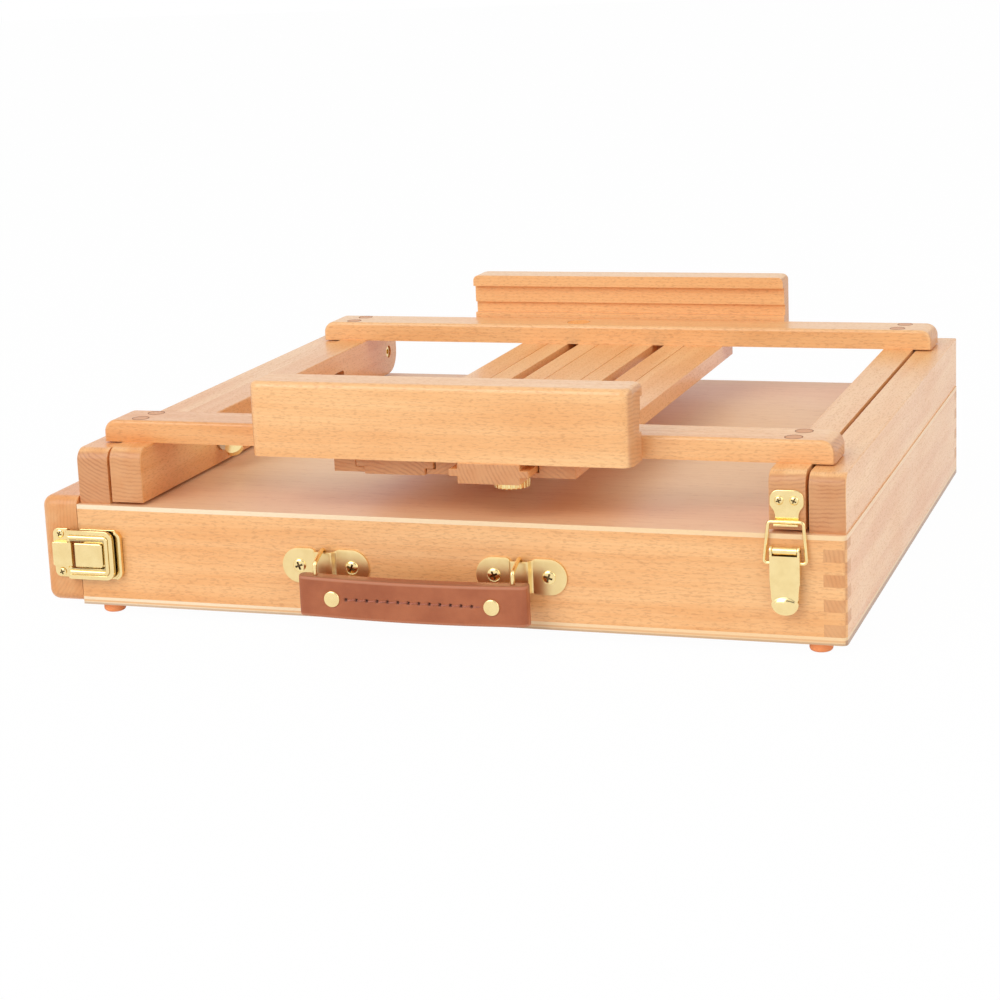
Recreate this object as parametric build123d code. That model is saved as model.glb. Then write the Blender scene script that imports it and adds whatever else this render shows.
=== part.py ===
from build123d import *
from math import cos, radians, sin, tan
import os

os.makedirs("parts", exist_ok=True)

# Tabletop sketch-box easel, stowed flat. X runs along the front from the drawer end to the closed end, Y runs
# from the handle side to the hinge side and Z up. The origin is on the table, under the middle of the whole.

# Box
body_length = 422.0
body_depth = 383.0
wall_thickness = 11.5
wall_height = 49.5
bottom_thickness = 4.2
deck_thickness = 2.5
panel_corner_radius = 3.0
finger_height = 6.4
foot_height = 5.0
foot_diameter = 12.0
foot_inset = 14.5
foot_setback = 8.0
foot_roundover = 2.0

# Drawer
drawer_front_thickness = 22.5
drawer_front_rise = 3.8
drawer_front_lift = 0.8
drawer_front_roundover = 6.0
drawer_side_thickness = 8.0
drawer_side_height = 41.0
drawer_bottom_thickness = 3.0
drawer_bottom_lift = 3.0
drawer_end_gap = 5.0
drawer_gap = 0.75
divider_thickness = 5.0
divider_height = 30.0
divider_position = 110.0
cross_divider_position = 150.0
groove_depth = 3.0

# Side rails on the deck and the bars of the folding frame beside them
rail_width = 18.3
rail_height = 30.2
bar_rise = 0.8
rail_inset = 0.6
rail_setback = 3.0
end_roundover = 7.0
swing_gap = 1.7
bar_width = 18.5
bar_lift = 1.5
edge_softening = 0.8

# Frame hinge and its folding struts
hinge_from_rear = 7.0
bar_tail = 14.5
pivot_head_radius = 3.9
pivot_head_depth = 5.0
pivot_shank_radius = 2.5
pivot_grip = 13.0
drive_radius = 2.0
strut_reach = 135.0
tilt_limit = 72.0
strut_thickness = 1.1
strut_width = 14.0
strut_bolt_radius = 2.5
strut_pin_radius = 2.0
strut_pin_depth = 12.0
strut_slot_margin = 8.5
washer_radius = 8.0
washer_thickness = 1.2
wing_nut_radius = 5.0
wing_nut_length = 12.0
wing_span = 28.0
wing_thickness = 2.6
wing_length = 8.0
wing_tip_radius = 5.0
wing_turn = 35.0
bolt_overhang = 1.0

# Cross bars
cross_bar_length = 403.5
cross_bar_width = 28.4
cross_bar_thickness = 12.0
front_bar_setback = 20.4
rear_bar_setback = 336.4
cross_bar_roundover = 2.0
plug_diameter = 9.0
plug_depth = 4.0
plug_spacing = 14.5
plug_stagger = 1.2

# Grooved rails under the cross bars, and the slides that run between them
slide_width = 33.6
slide_thickness = 10.5
slide_pitch = 56.5
left_rail_width = 17.4
right_rail_width = 24.8
grooved_rail_thickness = 10.0
grooved_rail_setback = 12.0
tongue_reach = 4.7
tongue_thickness = 3.6
slide_gap = 0.4
slot_width = 7.4
front_slide_proud = 1.0
front_slide_end_inset = 3.0
front_slide_travel = 306.0
rear_slide_setback = 10.5
rear_slide_slot_margin = 30.0
rear_slide_end_inset = 2.5
lock_bolt_radius = 3.0
lock_bolt_head_radius = 7.5
lock_bolt_head_depth = 2.5
thumb_nut_radius = 9.6
thumb_nut_thickness = 5.5
thumb_nut_boss_radius = 6.0
thumb_nut_boss_height = 4.0
thumb_nut_ridges = 24
thumb_nut_ridge_radius = 0.5

# Canvas holders
holder_length = 208.0
holder_height = 40.0
holder_thickness = 22.5
holder_lip_height = 7.0
holder_step_heights = (11.0, 7.0)
holder_step_depths = (4.0, 6.5)
holder_base_setback = 3.0
front_holder_gap = 3.4
rear_holder_gap = 1.2
holder_roundover = 3.5
holder_corner_radius = 6.0
holder_screw_spread = 18.0
holder_screw_length = 26.0

# Small screws and sheet brass
screw_head_radius = 3.0
screw_head_rise = 0.9
screw_head_roundover = 0.7
screw_shank_radius = 1.4
screw_length = 9.0
cross_slot_length = 3.2
cross_slot_width = 0.7
cross_slot_depth = 0.6
countersink_depth = 2.0
plate_thickness = 1.1

# Carrying handle
handle_lift = 28.2
handle_length = 125.4
handle_thickness = 9.0
handle_end_height = 21.5
handle_bow = 1.4
handle_standoff = 11.0
handle_top_drop = 0.2
handle_edge_radius = 3.0
bracket_spacing = 108.6
bracket_length = 49.0
bracket_height = 19.0
bracket_screw_spacing = 29.7
bridge_height = 17.0
tunnel_width = 9.0
tunnel_depth = 3.2
ring_radius = 1.1
ring_bend_radius = 2.4
ring_half_height = 11.0
ring_front_top = 5.5
ring_front_drop = 9.0
ring_swing = 25.0
rivet_radius = 4.4
rivet_shank_radius = 1.2
rivet_spacing = 87.7
rivet_rise = 1.0
rivet_drop = 12.0

# Clasp between the drawer and the box, with distances from the drawer's joint
clasp_lift = 28.9
clasp_tall = 27.5
clasp_left = -15.5
clasp_tab_tall = 13.4
clasp_pin_offset = -4.6
clasp_pin_radius = 0.8
clasp_knuckle_radius = 1.6
clasp_corner_radius = 3.5
clasp_screw_offset = -11.0
clasp_screw_spacing = 21.6
clasp_screw_radius = 2.4
keeper_screw_offset = 9.0
keeper_screw_spacing = 20.0
fork_right = 22.3
fork_rim_height = 0.9
fork_rim_inset = 0.7
fork_rim_width = 2.6
keeper_left = 1.2
keeper_right = 26.4
keeper_lip_gap = 2.5
keeper_lip_height = 3.4
button_left = -0.8
button_right = 16.0
button_gap = 0.9
button_rise = 0.6
window_corner_radius = 1.9

# Toggle latch on the right bar
strike_lift = 60.3
strike_height = 16.6
strike_width = 17.2
strike_neck_width = 12.6
strike_corner_radius = 3.6
strike_shoulder_drop = 8.3
strike_shoulder_slope = 2.0
strike_shelf_reach = 4.6
strike_screw_spacing = 7.6
strike_screw_drop = 5.3
strike_screw_radius = 2.2
latch_pin_lift = 48.3
latch_pin_radius = 0.9
latch_barrel_radius = 2.0
latch_barrel_length = 12.0
latch_base_height = 27.0
latch_screw_margin = 4.5
latch_screw_spacing = 12.0
lever_length = 32.5
lever_tip_width = 14.6
lever_cover = 1.2
lever_dome_length = 9.5
lever_dome_rise = 1.6
lever_tip_radius = 5.5
flange_length = 17.0
flange_thickness = 1.3
flange_ear_radius = 2.6
bail_pivot_drop = 6.2
bail_wire_radius = 0.95
bail_bend_radius = 1.6
bail_top_width = 17.6
bail_foot_width = 21.6
running_gap = 0.05
moving_gap = 0.3



def both_ways(spacing):
    """The two steps from a middle to the ends of a spacing."""
    return (-spacing / 2, spacing / 2)


# Where things stand, worked out from the sizes above
overall_length = body_length + drawer_front_thickness
left = -overall_length / 2 + drawer_front_thickness
right = left + body_length
middle = (left + right) / 2
handle_reach = handle_standoff + handle_thickness + rivet_rise
hinge_depth = body_depth - hinge_from_rear
front = handle_reach - (handle_reach + hinge_depth + bar_tail) / 2
rear = front + body_depth
hinge_y = front + hinge_depth
bottom_z = foot_height
wall_z = bottom_z + bottom_thickness
deck_z = wall_z + wall_height
deck_top = deck_z + deck_thickness
rail_top = deck_top + rail_height
frame_top = rail_top + bar_rise
bar_bottom = deck_top + bar_lift
hinge_z = (bar_bottom + frame_top) / 2
cross_top = frame_top + cross_bar_thickness
rail_offset = body_length / 2 - rail_inset - rail_width / 2
bar_offset = rail_offset - rail_width / 2 - swing_gap - bar_width / 2
bar_front = front + rail_setback
strut_pivot_y = hinge_y - strut_reach
strut_bolt_y = hinge_y - 2 * strut_reach

drawer_z = wall_z + moving_gap
drawer_left = left - moving_gap
drawer_right = right - wall_thickness - drawer_end_gap
drawer_y = (front + wall_thickness + drawer_gap, rear - wall_thickness - drawer_gap)
drawer_inner_y = (drawer_y[0] + drawer_side_thickness, drawer_y[1] - drawer_side_thickness)
drawer_floor = drawer_z + drawer_bottom_lift + drawer_bottom_thickness
divider_y = drawer_inner_y[0] + divider_position

front_bar_edge = front + front_bar_setback
rear_bar_edge = front + rear_bar_setback + cross_bar_width
front_bar_y = front_bar_edge + cross_bar_width / 2
rear_bar_y = rear_bar_edge - cross_bar_width / 2
front_slide_x = middle + slide_pitch / 2
rear_slide_x = middle - slide_pitch / 2
slide_bottom = frame_top - slide_thickness
tongue_z = frame_top - grooved_rail_thickness / 2
slide_half = slide_width / 2 + slide_gap
holder_foot = holder_thickness - holder_base_setback
front_holder_y = front_bar_edge - front_holder_gap - holder_foot / 2
rear_holder_y = rear_bar_edge + rear_holder_gap + holder_foot / 2
front_slide_y = (front_holder_y - holder_foot / 2 - front_slide_proud, rear_bar_edge - front_slide_end_inset)
rear_slide_y = (front + rear_slide_setback, rear_holder_y + holder_foot / 2 - rear_slide_end_inset)
thumb_nut_top = slide_bottom - moving_gap
thumb_nut_bottom = thumb_nut_top - thumb_nut_boss_height - thumb_nut_thickness

handle_z = bottom_z + handle_lift
bracket_xs = (-bracket_spacing / 2, bracket_spacing / 2)
plate_face = front - plate_thickness
bracket_screw_xs = [x + step for x in bracket_xs for step in both_ways(bracket_screw_spacing)]
bracket_screws = [(x, plate_face, handle_z) for x in bracket_screw_xs]
ring_axis_y = front - tunnel_depth / 2
leather_back = front - handle_standoff
leather_top = handle_z - handle_top_drop
ring_front_y = leather_back - handle_thickness / 2
rivet_xs = (-rivet_spacing / 2, rivet_spacing / 2)
rivet_z = handle_z - rivet_drop

clasp_z = bottom_z + clasp_lift
clasp_pin_x = left + clasp_pin_offset
clasp_pin_y = front - plate_thickness - moving_gap - clasp_knuckle_radius
clasp_screw_x = left + clasp_screw_offset
clasp_screws = [(clasp_screw_x, plate_face, clasp_z + step) for step in both_ways(clasp_screw_spacing)]
keeper_screw_x = left + keeper_screw_offset
keeper_screws = [(keeper_screw_x, plate_face, clasp_z + step) for step in both_ways(keeper_screw_spacing)]

latch_x = middle + bar_offset
strike_shelf_z = bottom_z + strike_lift
strike_screw_z = strike_shelf_z + plate_thickness + strike_height - strike_screw_drop
strike_face = bar_front - plate_thickness
strike_screws = [(latch_x + step, strike_face, strike_screw_z) for step in both_ways(strike_screw_spacing)]
latch_pin_z = bottom_z + latch_pin_lift
latch_pin_y = front - plate_thickness - latch_barrel_radius
latch_low_screw_z = latch_pin_z - latch_base_height + latch_screw_margin
latch_screws = [(latch_x, plate_face, latch_low_screw_z + step * latch_screw_spacing) for step in (0, 1)]
wall_screws = bracket_screws + keeper_screws + latch_screws
flange_inner = latch_barrel_length / 2 + moving_gap
flange_outer = flange_inner + flange_thickness
flange_low = latch_pin_z - flange_length
lever_face = latch_pin_y - lever_cover
bail_pivot_z = latch_pin_z - bail_pivot_drop
bail_bar_z = strike_shelf_z + plate_thickness + bail_wire_radius + running_gap
bail_bar_y = bar_front - strike_shelf_reach + bail_wire_radius + running_gap


def cuboid(x, y, z):
    """A plank between the low and high ends given for each direction."""
    size = [high - low for low, high in (x, y, z)]
    centre = [(high + low) / 2 for low, high in (x, y, z)]
    return Pos(*centre) * Box(*size)


def rod(start, end, radius):
    """A round bar between two points."""
    axis = Vector(*end) - Vector(*start)
    plane = Plane(origin=start, z_dir=axis)
    return extrude(plane * Circle(radius), axis.length)


def edges_at(solid, along, x=None, y=None, z=None):
    """Straight edges along one direction whose centres match the given coordinates."""
    found = []
    for edge in solid.edges().filter_by(along):
        centre = edge.center()
        wanted = [(x, centre.X), (y, centre.Y), (z, centre.Z)]
        if all(value is None or abs(value - at) < 1e-3 for value, at in wanted):
            found.append(edge)
    return found


def screw(point, head_radius=screw_head_radius):
    """A pan-headed screw, driven in along Y, whose head stands on the plate that the point lies on."""
    plane = Plane(origin=point, x_dir=(1, 0, 0), z_dir=(0, -1, 0))
    head = extrude(plane * Circle(head_radius), screw_head_rise)
    head = fillet(head.edges().group_by(Axis.Y)[0], screw_head_roundover)
    cross = Rectangle(cross_slot_length, cross_slot_width) + Rectangle(cross_slot_width, cross_slot_length)
    head -= extrude(plane.offset(screw_head_rise) * cross, -cross_slot_depth)
    return head + screw_shank(point)


def screw_shank(point):
    """A screw's shank, and the hole for it."""
    x, y, z = point
    return rod(point, (x, y + screw_length, z), screw_shank_radius)


def drilled(solid, points):
    """The solid with a hole for a screw at each point."""
    for point in points:
        solid -= screw_shank(point)
    return solid


def save(name, shape, *more):
    """Writes one piece, or several like it, to its own file."""
    shapes = [shape, *more]
    solids = [solid for item in shapes for solid in item.solids()]
    export_step(solids[0] if len(solids) == 1 else Compound(children=solids), f"parts/{name}.step")


# Box: the walls meet in finger joints at the closed end, between two sheets of plywood


def box_block():
    """The room that the box takes up, with its upright corners at the closed end rounded."""
    block = cuboid((left, right), (front, rear), (bottom_z, deck_top))
    return fillet(edges_at(block, Axis.Z, x=right), panel_corner_radius)


def fingers(wall_front):
    """The end wall's fingers that pass through one of the long walls; they begin at the bottom."""
    x = (right - wall_thickness, right)
    y = (wall_front, wall_front + wall_thickness)
    count = int((wall_height + finger_height) // (2 * finger_height))
    lows = [wall_z + 2 * finger_height * index for index in range(count)]
    return [cuboid(x, y, (low, low + finger_height)) for low in lows]


def long_wall(wall_front):
    wall = box_block() & cuboid((left, right), (wall_front, wall_front + wall_thickness), (wall_z, deck_z))
    for finger in fingers(wall_front):
        wall -= finger
    return drilled(wall, wall_screws)


def end_wall():
    inner = (front + wall_thickness, rear - wall_thickness)
    wall = cuboid((right - wall_thickness, right), inner, (wall_z, deck_z))
    for wall_front in (front, rear - wall_thickness):
        for finger in fingers(wall_front):
            wall += finger
    return wall & box_block()


def panel(low, thickness):
    """A sheet of plywood over the whole box."""
    return box_block() & cuboid((left, right), (front, rear), (low, low + thickness))


def cross_rod(x_from, x_to, y, radius):
    """A rod or hole across the frame, at the height of its hinge."""
    return rod((x_from, y, hinge_z), (x_to, y, hinge_z), radius)


def side_rail(side):
    """The fixed rail on the deck at one side; side is -1 on the left and 1 on the right."""
    centre = middle + side * rail_offset
    x = (centre - rail_width / 2, centre + rail_width / 2)
    rail = cuboid(x, (bar_front, rear), (deck_top, rail_top))
    rail = fillet(edges_at(rail, Axis.X, y=bar_front, z=rail_top), end_roundover)
    rail = fillet(edges_at(rail, Axis.Y, x=centre + side * rail_width / 2, z=rail_top), edge_softening)
    inner = centre - side * rail_width / 2
    rail -= cross_rod(inner, inner + side * pivot_grip, hinge_y, pivot_shank_radius)
    return rail - cross_rod(inner, inner + side * strut_pin_depth, strut_pivot_y, strut_pin_radius)


def pivot_screw(side):
    """The screw that the frame turns on: its head lies sunk in the bar and the rail holds its shank."""
    bar_inner = middle + side * (bar_offset - bar_width / 2)
    rail_inner = middle + side * (rail_offset - rail_width / 2)
    head_top = bar_inner + side * edge_softening
    head_bottom = bar_inner + side * pivot_head_depth
    head = cross_rod(head_top, head_bottom, hinge_y, pivot_head_radius)
    shank = cross_rod(head_bottom, rail_inner + side * pivot_grip, hinge_y, pivot_shank_radius)
    drive = Plane(origin=(head_top, hinge_y, hinge_z), z_dir=(side, 0, 0)) * RegularPolygon(drive_radius, 6)
    return head + shank - extrude(drive, drive_radius)


def strut_pin(side):
    """The pin in the rail that the strut turns on."""
    inner = middle + side * (rail_offset - rail_width / 2)
    reach = moving_gap + strut_thickness
    return cross_rod(inner - side * reach, inner + side * strut_pin_depth, strut_pivot_y, strut_pin_radius)


def foot(x, y):
    body = rod((x, y, 0), (x, y, foot_height), foot_diameter / 2)
    return fillet(body.edges().group_by(Axis.Z)[0], foot_roundover)


def feet():
    xs = (left + foot_inset, right - foot_inset)
    ys = (front + foot_setback, rear - foot_setback)
    return [foot(x, y) for x in xs for y in ys]


# Drawer: it fills the box and slides out at the open end, behind a front that is as deep as the box


def drawer_front():
    low = bottom_z + drawer_front_lift
    high = deck_top + drawer_front_rise
    outer = left - drawer_front_thickness
    board = cuboid((outer, drawer_left), (front, rear), (low, high))
    edges = edges_at(board, Axis.Z, x=outer) + edges_at(board, Axis.Y, x=outer)
    edges += edges_at(board, Axis.X, z=high) + edges_at(board, Axis.X, z=low)
    return drilled(fillet(edges, drawer_front_roundover), clasp_screws)


def drawer_bottom():
    """The drawer's floor, let into the sides and the back."""
    x = (drawer_left, drawer_right - drawer_side_thickness + groove_depth)
    y = (drawer_inner_y[0] - groove_depth, drawer_inner_y[1] + groove_depth)
    return cuboid(x, y, (drawer_floor - drawer_bottom_thickness, drawer_floor))


def drawer_board(x, y):
    """A side or the back of the drawer, grooved for its floor."""
    return cuboid(x, y, (drawer_z, drawer_z + drawer_side_height)) - drawer_bottom()


def drawer_side(low_y):
    return drawer_board((drawer_left, drawer_right), (low_y, low_y + drawer_side_thickness))


def drawer_back():
    return drawer_board((drawer_right - drawer_side_thickness, drawer_right), drawer_inner_y)


def divider():
    """The long divider that runs from the drawer's front to its back."""
    x = (drawer_left, drawer_right - drawer_side_thickness)
    y = (divider_y, divider_y + divider_thickness)
    return cuboid(x, y, (drawer_floor, drawer_floor + divider_height))


def cross_divider():
    low_x = drawer_left + cross_divider_position
    y = (divider_y + divider_thickness, drawer_inner_y[1])
    return cuboid((low_x, low_x + divider_thickness), y, (drawer_floor, drawer_floor + divider_height))


# Folding frame


def long_hole(x, y_low, y_high, radius):
    """A slot with round ends across a bar."""
    hole = cuboid(x, (y_low + radius, y_high - radius), (hinge_z - radius, hinge_z + radius))
    return hole + cross_rod(*x, y_low + radius, radius) + cross_rod(*x, y_high - radius, radius)


def frame_bar(side):
    """A side bar of the frame, with the slot that the strut's bolt runs in."""
    centre = middle + side * bar_offset
    x = (centre - bar_width / 2, centre + bar_width / 2)
    inner = centre - side * bar_width / 2
    tail = hinge_y + bar_tail
    bar = cuboid(x, (bar_front, tail), (bar_bottom, frame_top))
    bar = fillet(edges_at(bar, Axis.X, y=bar_front, z=frame_top), end_roundover)
    bar = fillet(edges_at(bar, Axis.X, y=tail, z=bar_bottom), bar_tail)
    bar = fillet(edges_at(bar, Axis.Y, x=inner, z=frame_top), edge_softening)
    radius = strut_bolt_radius + moving_gap
    folded = strut_bolt_y - radius - strut_slot_margin
    unfolded = hinge_y - 2 * strut_reach * cos(radians(tilt_limit)) + radius
    bar -= long_hole(x, folded, unfolded, radius)
    bar -= cross_rod(*x, hinge_y, pivot_shank_radius + running_gap)
    bar = drilled(bar, strike_screws)
    sink = inner + side * (pivot_head_depth + running_gap)
    return bar - cross_rod(inner, sink, hinge_y, pivot_head_radius + moving_gap)


def lock_bolt_x(y):
    """The front cross bar's bolt locks the front slide, and the rear one's the rear slide."""
    return front_slide_x if y == front_bar_y else rear_slide_x


def plug_places(y):
    """Two plugs stand over each bar, one behind the other and a little to the side."""
    places = []
    for side in (-1, 1):
        x = middle + side * bar_offset
        places.append((x - plug_stagger, y - plug_spacing / 2))
        places.append((x + plug_stagger, y + plug_spacing / 2))
    return places


def plug(x, y):
    """A wooden plug over a sunk screw."""
    return rod((x, y, cross_top - plug_depth), (x, y, cross_top), plug_diameter / 2)


def plugs():
    return [plug(*place) for y in (front_bar_y, rear_bar_y) for place in plug_places(y)]


def cross_bar(y):
    x = (middle - cross_bar_length / 2, middle + cross_bar_length / 2)
    bar = cuboid(x, (y - cross_bar_width / 2, y + cross_bar_width / 2), (frame_top, cross_top))
    bar = fillet(edges_at(bar, Axis.Y, z=cross_top), end_roundover)
    bar = fillet(edges_at(bar, Axis.X, z=cross_top), cross_bar_roundover)
    for place in plug_places(y):
        bar -= plug(*place)
    bolt_x = lock_bolt_x(y)
    top = (bolt_x, y, cross_top)
    bar -= rod((bolt_x, y, frame_top), top, lock_bolt_radius)
    return bar - rod((bolt_x, y, cross_top - lock_bolt_head_depth), top, lock_bolt_head_radius)


def grooved_rail(x_low, x_high, grooved_sides):
    """A rail under the cross bars; the slide beside each grooved side runs with its tongue in the groove."""
    y = (front + grooved_rail_setback, rear_bar_edge)
    rail = cuboid((x_low, x_high), y, (frame_top - grooved_rail_thickness, frame_top))
    depth = tongue_reach + slide_gap
    half = tongue_thickness / 2 + slide_gap
    for side in grooved_sides:
        x = (x_low, x_low + depth) if side < 0 else (x_high - depth, x_high)
        rail -= cuboid(x, y, (tongue_z - half, tongue_z + half))
    return rail


def left_slide_rail():
    edge = rear_slide_x - slide_half
    return grooved_rail(edge - left_rail_width, edge, (1,))


def centre_slide_rail():
    return grooved_rail(rear_slide_x + slide_half, front_slide_x - slide_half, (-1, 1))


def right_slide_rail():
    edge = front_slide_x + slide_half
    return grooved_rail(edge, edge + right_rail_width, (-1,))


def slide(x, y, slot_y, screw_y):
    """A slotted board with a tongue along each side and two screws under its holder."""
    half = slide_width / 2
    board = cuboid((x - half, x + half), y, (slide_bottom, frame_top))
    board += cuboid((x - half - tongue_reach, x + half + tongue_reach), y,
                    (tongue_z - tongue_thickness / 2, tongue_z + tongue_thickness / 2))
    radius = slot_width / 2
    ends = (slot_y[0] + radius, slot_y[1] - radius)
    board -= cuboid((x - radius, x + radius), ends, (slide_bottom, frame_top))
    for end in ends:
        board -= rod((x, end, slide_bottom), (x, end, frame_top), radius)
    return board - holder_screw_holes(x, screw_y)


def front_slide():
    slot_y = (front_bar_y - slot_width / 2, front_bar_y + front_slide_travel + slot_width / 2)
    return slide(front_slide_x, front_slide_y, slot_y, front_holder_y)


def rear_slide():
    slot_y = (rear_slide_y[0] + rear_slide_slot_margin, rear_bar_y + slot_width / 2)
    return slide(rear_slide_x, rear_slide_y, slot_y, rear_holder_y)


def holder_screw(x, y):
    """A countersunk screw from under the slide up into the holder."""
    shank = rod((x, y, slide_bottom), (x, y, slide_bottom + holder_screw_length), screw_shank_radius)
    head = Cone(screw_head_radius, screw_shank_radius, countersink_depth)
    return shank + Pos(x, y, slide_bottom + countersink_depth / 2) * head


def holder_screw_xs(x):
    return (x - holder_screw_spread / 2, x + holder_screw_spread / 2)


def holder_screw_holes(x, y):
    first, second = [holder_screw(at, y) for at in holder_screw_xs(x)]
    return first + second


def holder_screws(x, y):
    """The screws themselves, with a cross recess in each head."""
    cross = Rectangle(cross_slot_length, cross_slot_width) + Rectangle(cross_slot_width, cross_slot_length)
    recess = extrude(cross, cross_slot_depth)
    return [holder_screw(at, y) - Pos(at, y, slide_bottom) * recess for at in holder_screw_xs(x)]


def holder(slide_x, foot_y, direction):
    """A stepped block on a slide; its lip looks along direction, 1 towards the hinge and -1 away from it."""
    lip_y = foot_y + direction * (holder_foot / 2 + holder_base_setback)
    back = lip_y - direction * holder_thickness
    top = frame_top + holder_height
    heights = [top, top - holder_lip_height]
    for height in holder_step_heights:
        heights.append(heights[-1] - height)
    heights.append(frame_top)
    points = [(back, frame_top), (back, top)]
    for index, setback in enumerate((0.0, *holder_step_depths, holder_base_setback)):
        points.append((lip_y - direction * setback, heights[index]))
        points.append((lip_y - direction * setback, heights[index + 1]))
    start = Plane(origin=(middle - holder_length / 2, 0, 0), x_dir=(0, 1, 0), z_dir=(1, 0, 0))
    block = extrude(start * make_face(Polyline(*points, close=True)), holder_length)
    block = fillet(edges_at(block, Axis.Z, y=back), holder_corner_radius)
    block = fillet(edges_at(block, Axis.X, y=back, z=top), holder_roundover)
    return block - holder_screw_holes(slide_x, foot_y)


def lock_bolt(y):
    """A bolt through a cross bar and a slide's slot, with a flat round head in the bar."""
    x = lock_bolt_x(y)
    under_head = cross_top - lock_bolt_head_depth
    head = rod((x, y, under_head), (x, y, cross_top), lock_bolt_head_radius)
    head = fillet(head.edges().group_by(Axis.Z)[-1], edge_softening)
    return head + rod((x, y, thumb_nut_bottom), (x, y, under_head), lock_bolt_radius)


def thumb_nut(y):
    """A round nut with a knurled rim and a boss, threaded on a lock bolt."""
    x = lock_bolt_x(y)
    rim_top = thumb_nut_bottom + thumb_nut_thickness
    rim = rod((x, y, thumb_nut_bottom), (x, y, rim_top), thumb_nut_radius)
    rim = fillet(rim.edges().filter_by(GeomType.CIRCLE), edge_softening)
    for index in range(thumb_nut_ridges):
        angle = radians(360 / thumb_nut_ridges * index)
        at = (x + thumb_nut_radius * cos(angle), y + thumb_nut_radius * sin(angle))
        rim -= rod((*at, thumb_nut_bottom), (*at, rim_top), thumb_nut_ridge_radius)
    nut = rim + rod((x, y, rim_top), (x, y, thumb_nut_top), thumb_nut_boss_radius)
    return nut - rod((x, y, thumb_nut_bottom), (x, y, thumb_nut_top), lock_bolt_radius + running_gap)


# Struts: each turns on a pin in the fixed rail, and its bolt runs in the bar's slot under a wing nut


def strut(side):
    """The flat strut in the gap between the bar and the rail."""
    outer = middle + side * (rail_offset - rail_width / 2 - moving_gap)
    x = (outer - side * strut_thickness, outer)
    height = (hinge_z - strut_width / 2, hinge_z + strut_width / 2)
    flat = cuboid(sorted(x), (strut_bolt_y, strut_pivot_y), height)
    for y in (strut_bolt_y, strut_pivot_y):
        flat += cross_rod(*x, y, strut_width / 2)
    flat -= cross_rod(*x, strut_pivot_y, strut_pin_radius + running_gap)
    return flat - cross_rod(*x, strut_bolt_y, strut_bolt_radius)


def washer_face(side):
    """The face of the washer that looks at the bar."""
    return middle + side * (bar_offset - bar_width / 2 - moving_gap)


def washer(side):
    face = washer_face(side)
    back = face - side * washer_thickness
    hole = cross_rod(face, back, strut_bolt_y, strut_bolt_radius)
    return cross_rod(face, back, strut_bolt_y, washer_radius) - hole


def strut_bolt(side):
    outer = middle + side * (rail_offset - rail_width / 2 - moving_gap)
    end = washer_face(side) - side * (washer_thickness + wing_nut_length + bolt_overhang)
    return cross_rod(outer, end, strut_bolt_y, strut_bolt_radius)


def wing_nut(side):
    """A long round nut whose two wings stand at its inner end, the front one turned down."""
    start = washer_face(side) - side * (washer_thickness + running_gap)
    end = start - side * wing_nut_length
    nut = cross_rod(start, end, strut_bolt_y, wing_nut_radius)
    wing_x = sorted((end, end + side * wing_length))
    height = (hinge_z - wing_thickness / 2, hinge_z + wing_thickness / 2)
    for hand in (-1, 1):
        tip_y = strut_bolt_y + hand * (wing_span / 2 - wing_tip_radius)
        nut += cuboid(wing_x, sorted((strut_bolt_y, tip_y)), height)
        tip_x = end + side * wing_length / 3
        nut += rod((tip_x, tip_y, height[0]), (tip_x, tip_y, height[1]), wing_tip_radius)
    nut -= cross_rod(start, end, strut_bolt_y, strut_bolt_radius + running_gap)
    return nut.rotate(Axis((0, strut_bolt_y, hinge_z), (1, 0, 0)), wing_turn)


# Handle: each end of the leather is threaded on a wire ring, whose rear leg stands in the tunnel of a bracket


def bracket(x):
    """A plate with round ends, raised in the middle to a bridge."""
    plane = Plane(origin=(x, front, handle_z), x_dir=(1, 0, 0), z_dir=(0, -1, 0))
    plate = extrude(plane * SlotOverall(bracket_length, bracket_height), plate_thickness)
    tall = (handle_z - bridge_height / 2, handle_z + bridge_height / 2)
    through = (handle_z - bracket_height, handle_z + bracket_height)
    half = tunnel_width / 2
    crown = front - tunnel_depth - plate_thickness
    bridge = cuboid((x - half - plate_thickness, x + half + plate_thickness), (crown, front), tall)
    bridge = fillet(edges_at(bridge, Axis.Z, y=crown), 2 * plate_thickness)
    tunnel = cuboid((x - half, x + half), (front - tunnel_depth, front), through)
    tunnel = fillet(edges_at(tunnel, Axis.Z, y=front - tunnel_depth), plate_thickness)
    plate = plate + bridge - tunnel
    return drilled(plate, bracket_screws)


def ring(x):
    """The ring hangs a little, so its front leg is lower than its rear one."""
    corners = [(x, ring_axis_y, handle_z + ring_half_height), (x, ring_front_y, handle_z + ring_front_top),
               (x, ring_front_y, handle_z - ring_front_drop), (x, ring_axis_y, handle_z - ring_half_height)]
    loop = FilletPolyline(*corners, radius=ring_bend_radius, close=True)
    start = Plane(origin=loop @ 0, z_dir=loop % 0)
    return sweep(start * Circle(ring_radius), path=loop)


def strap_face():
    """The leather from the front: its lower edge bows down and its upper edge dips in the middle."""
    half = handle_length / 2
    low = leather_top - handle_end_height
    bottom = ThreePointArc((-half, low), (0, low - handle_bow), (half, low))
    top = ThreePointArc((half, leather_top), (0, leather_top - handle_bow), (-half, leather_top))
    right_end = Line((half, low), (half, leather_top))
    left_end = Line((-half, leather_top), (-half, low))
    return make_face([bottom, right_end, top, left_end])


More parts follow.
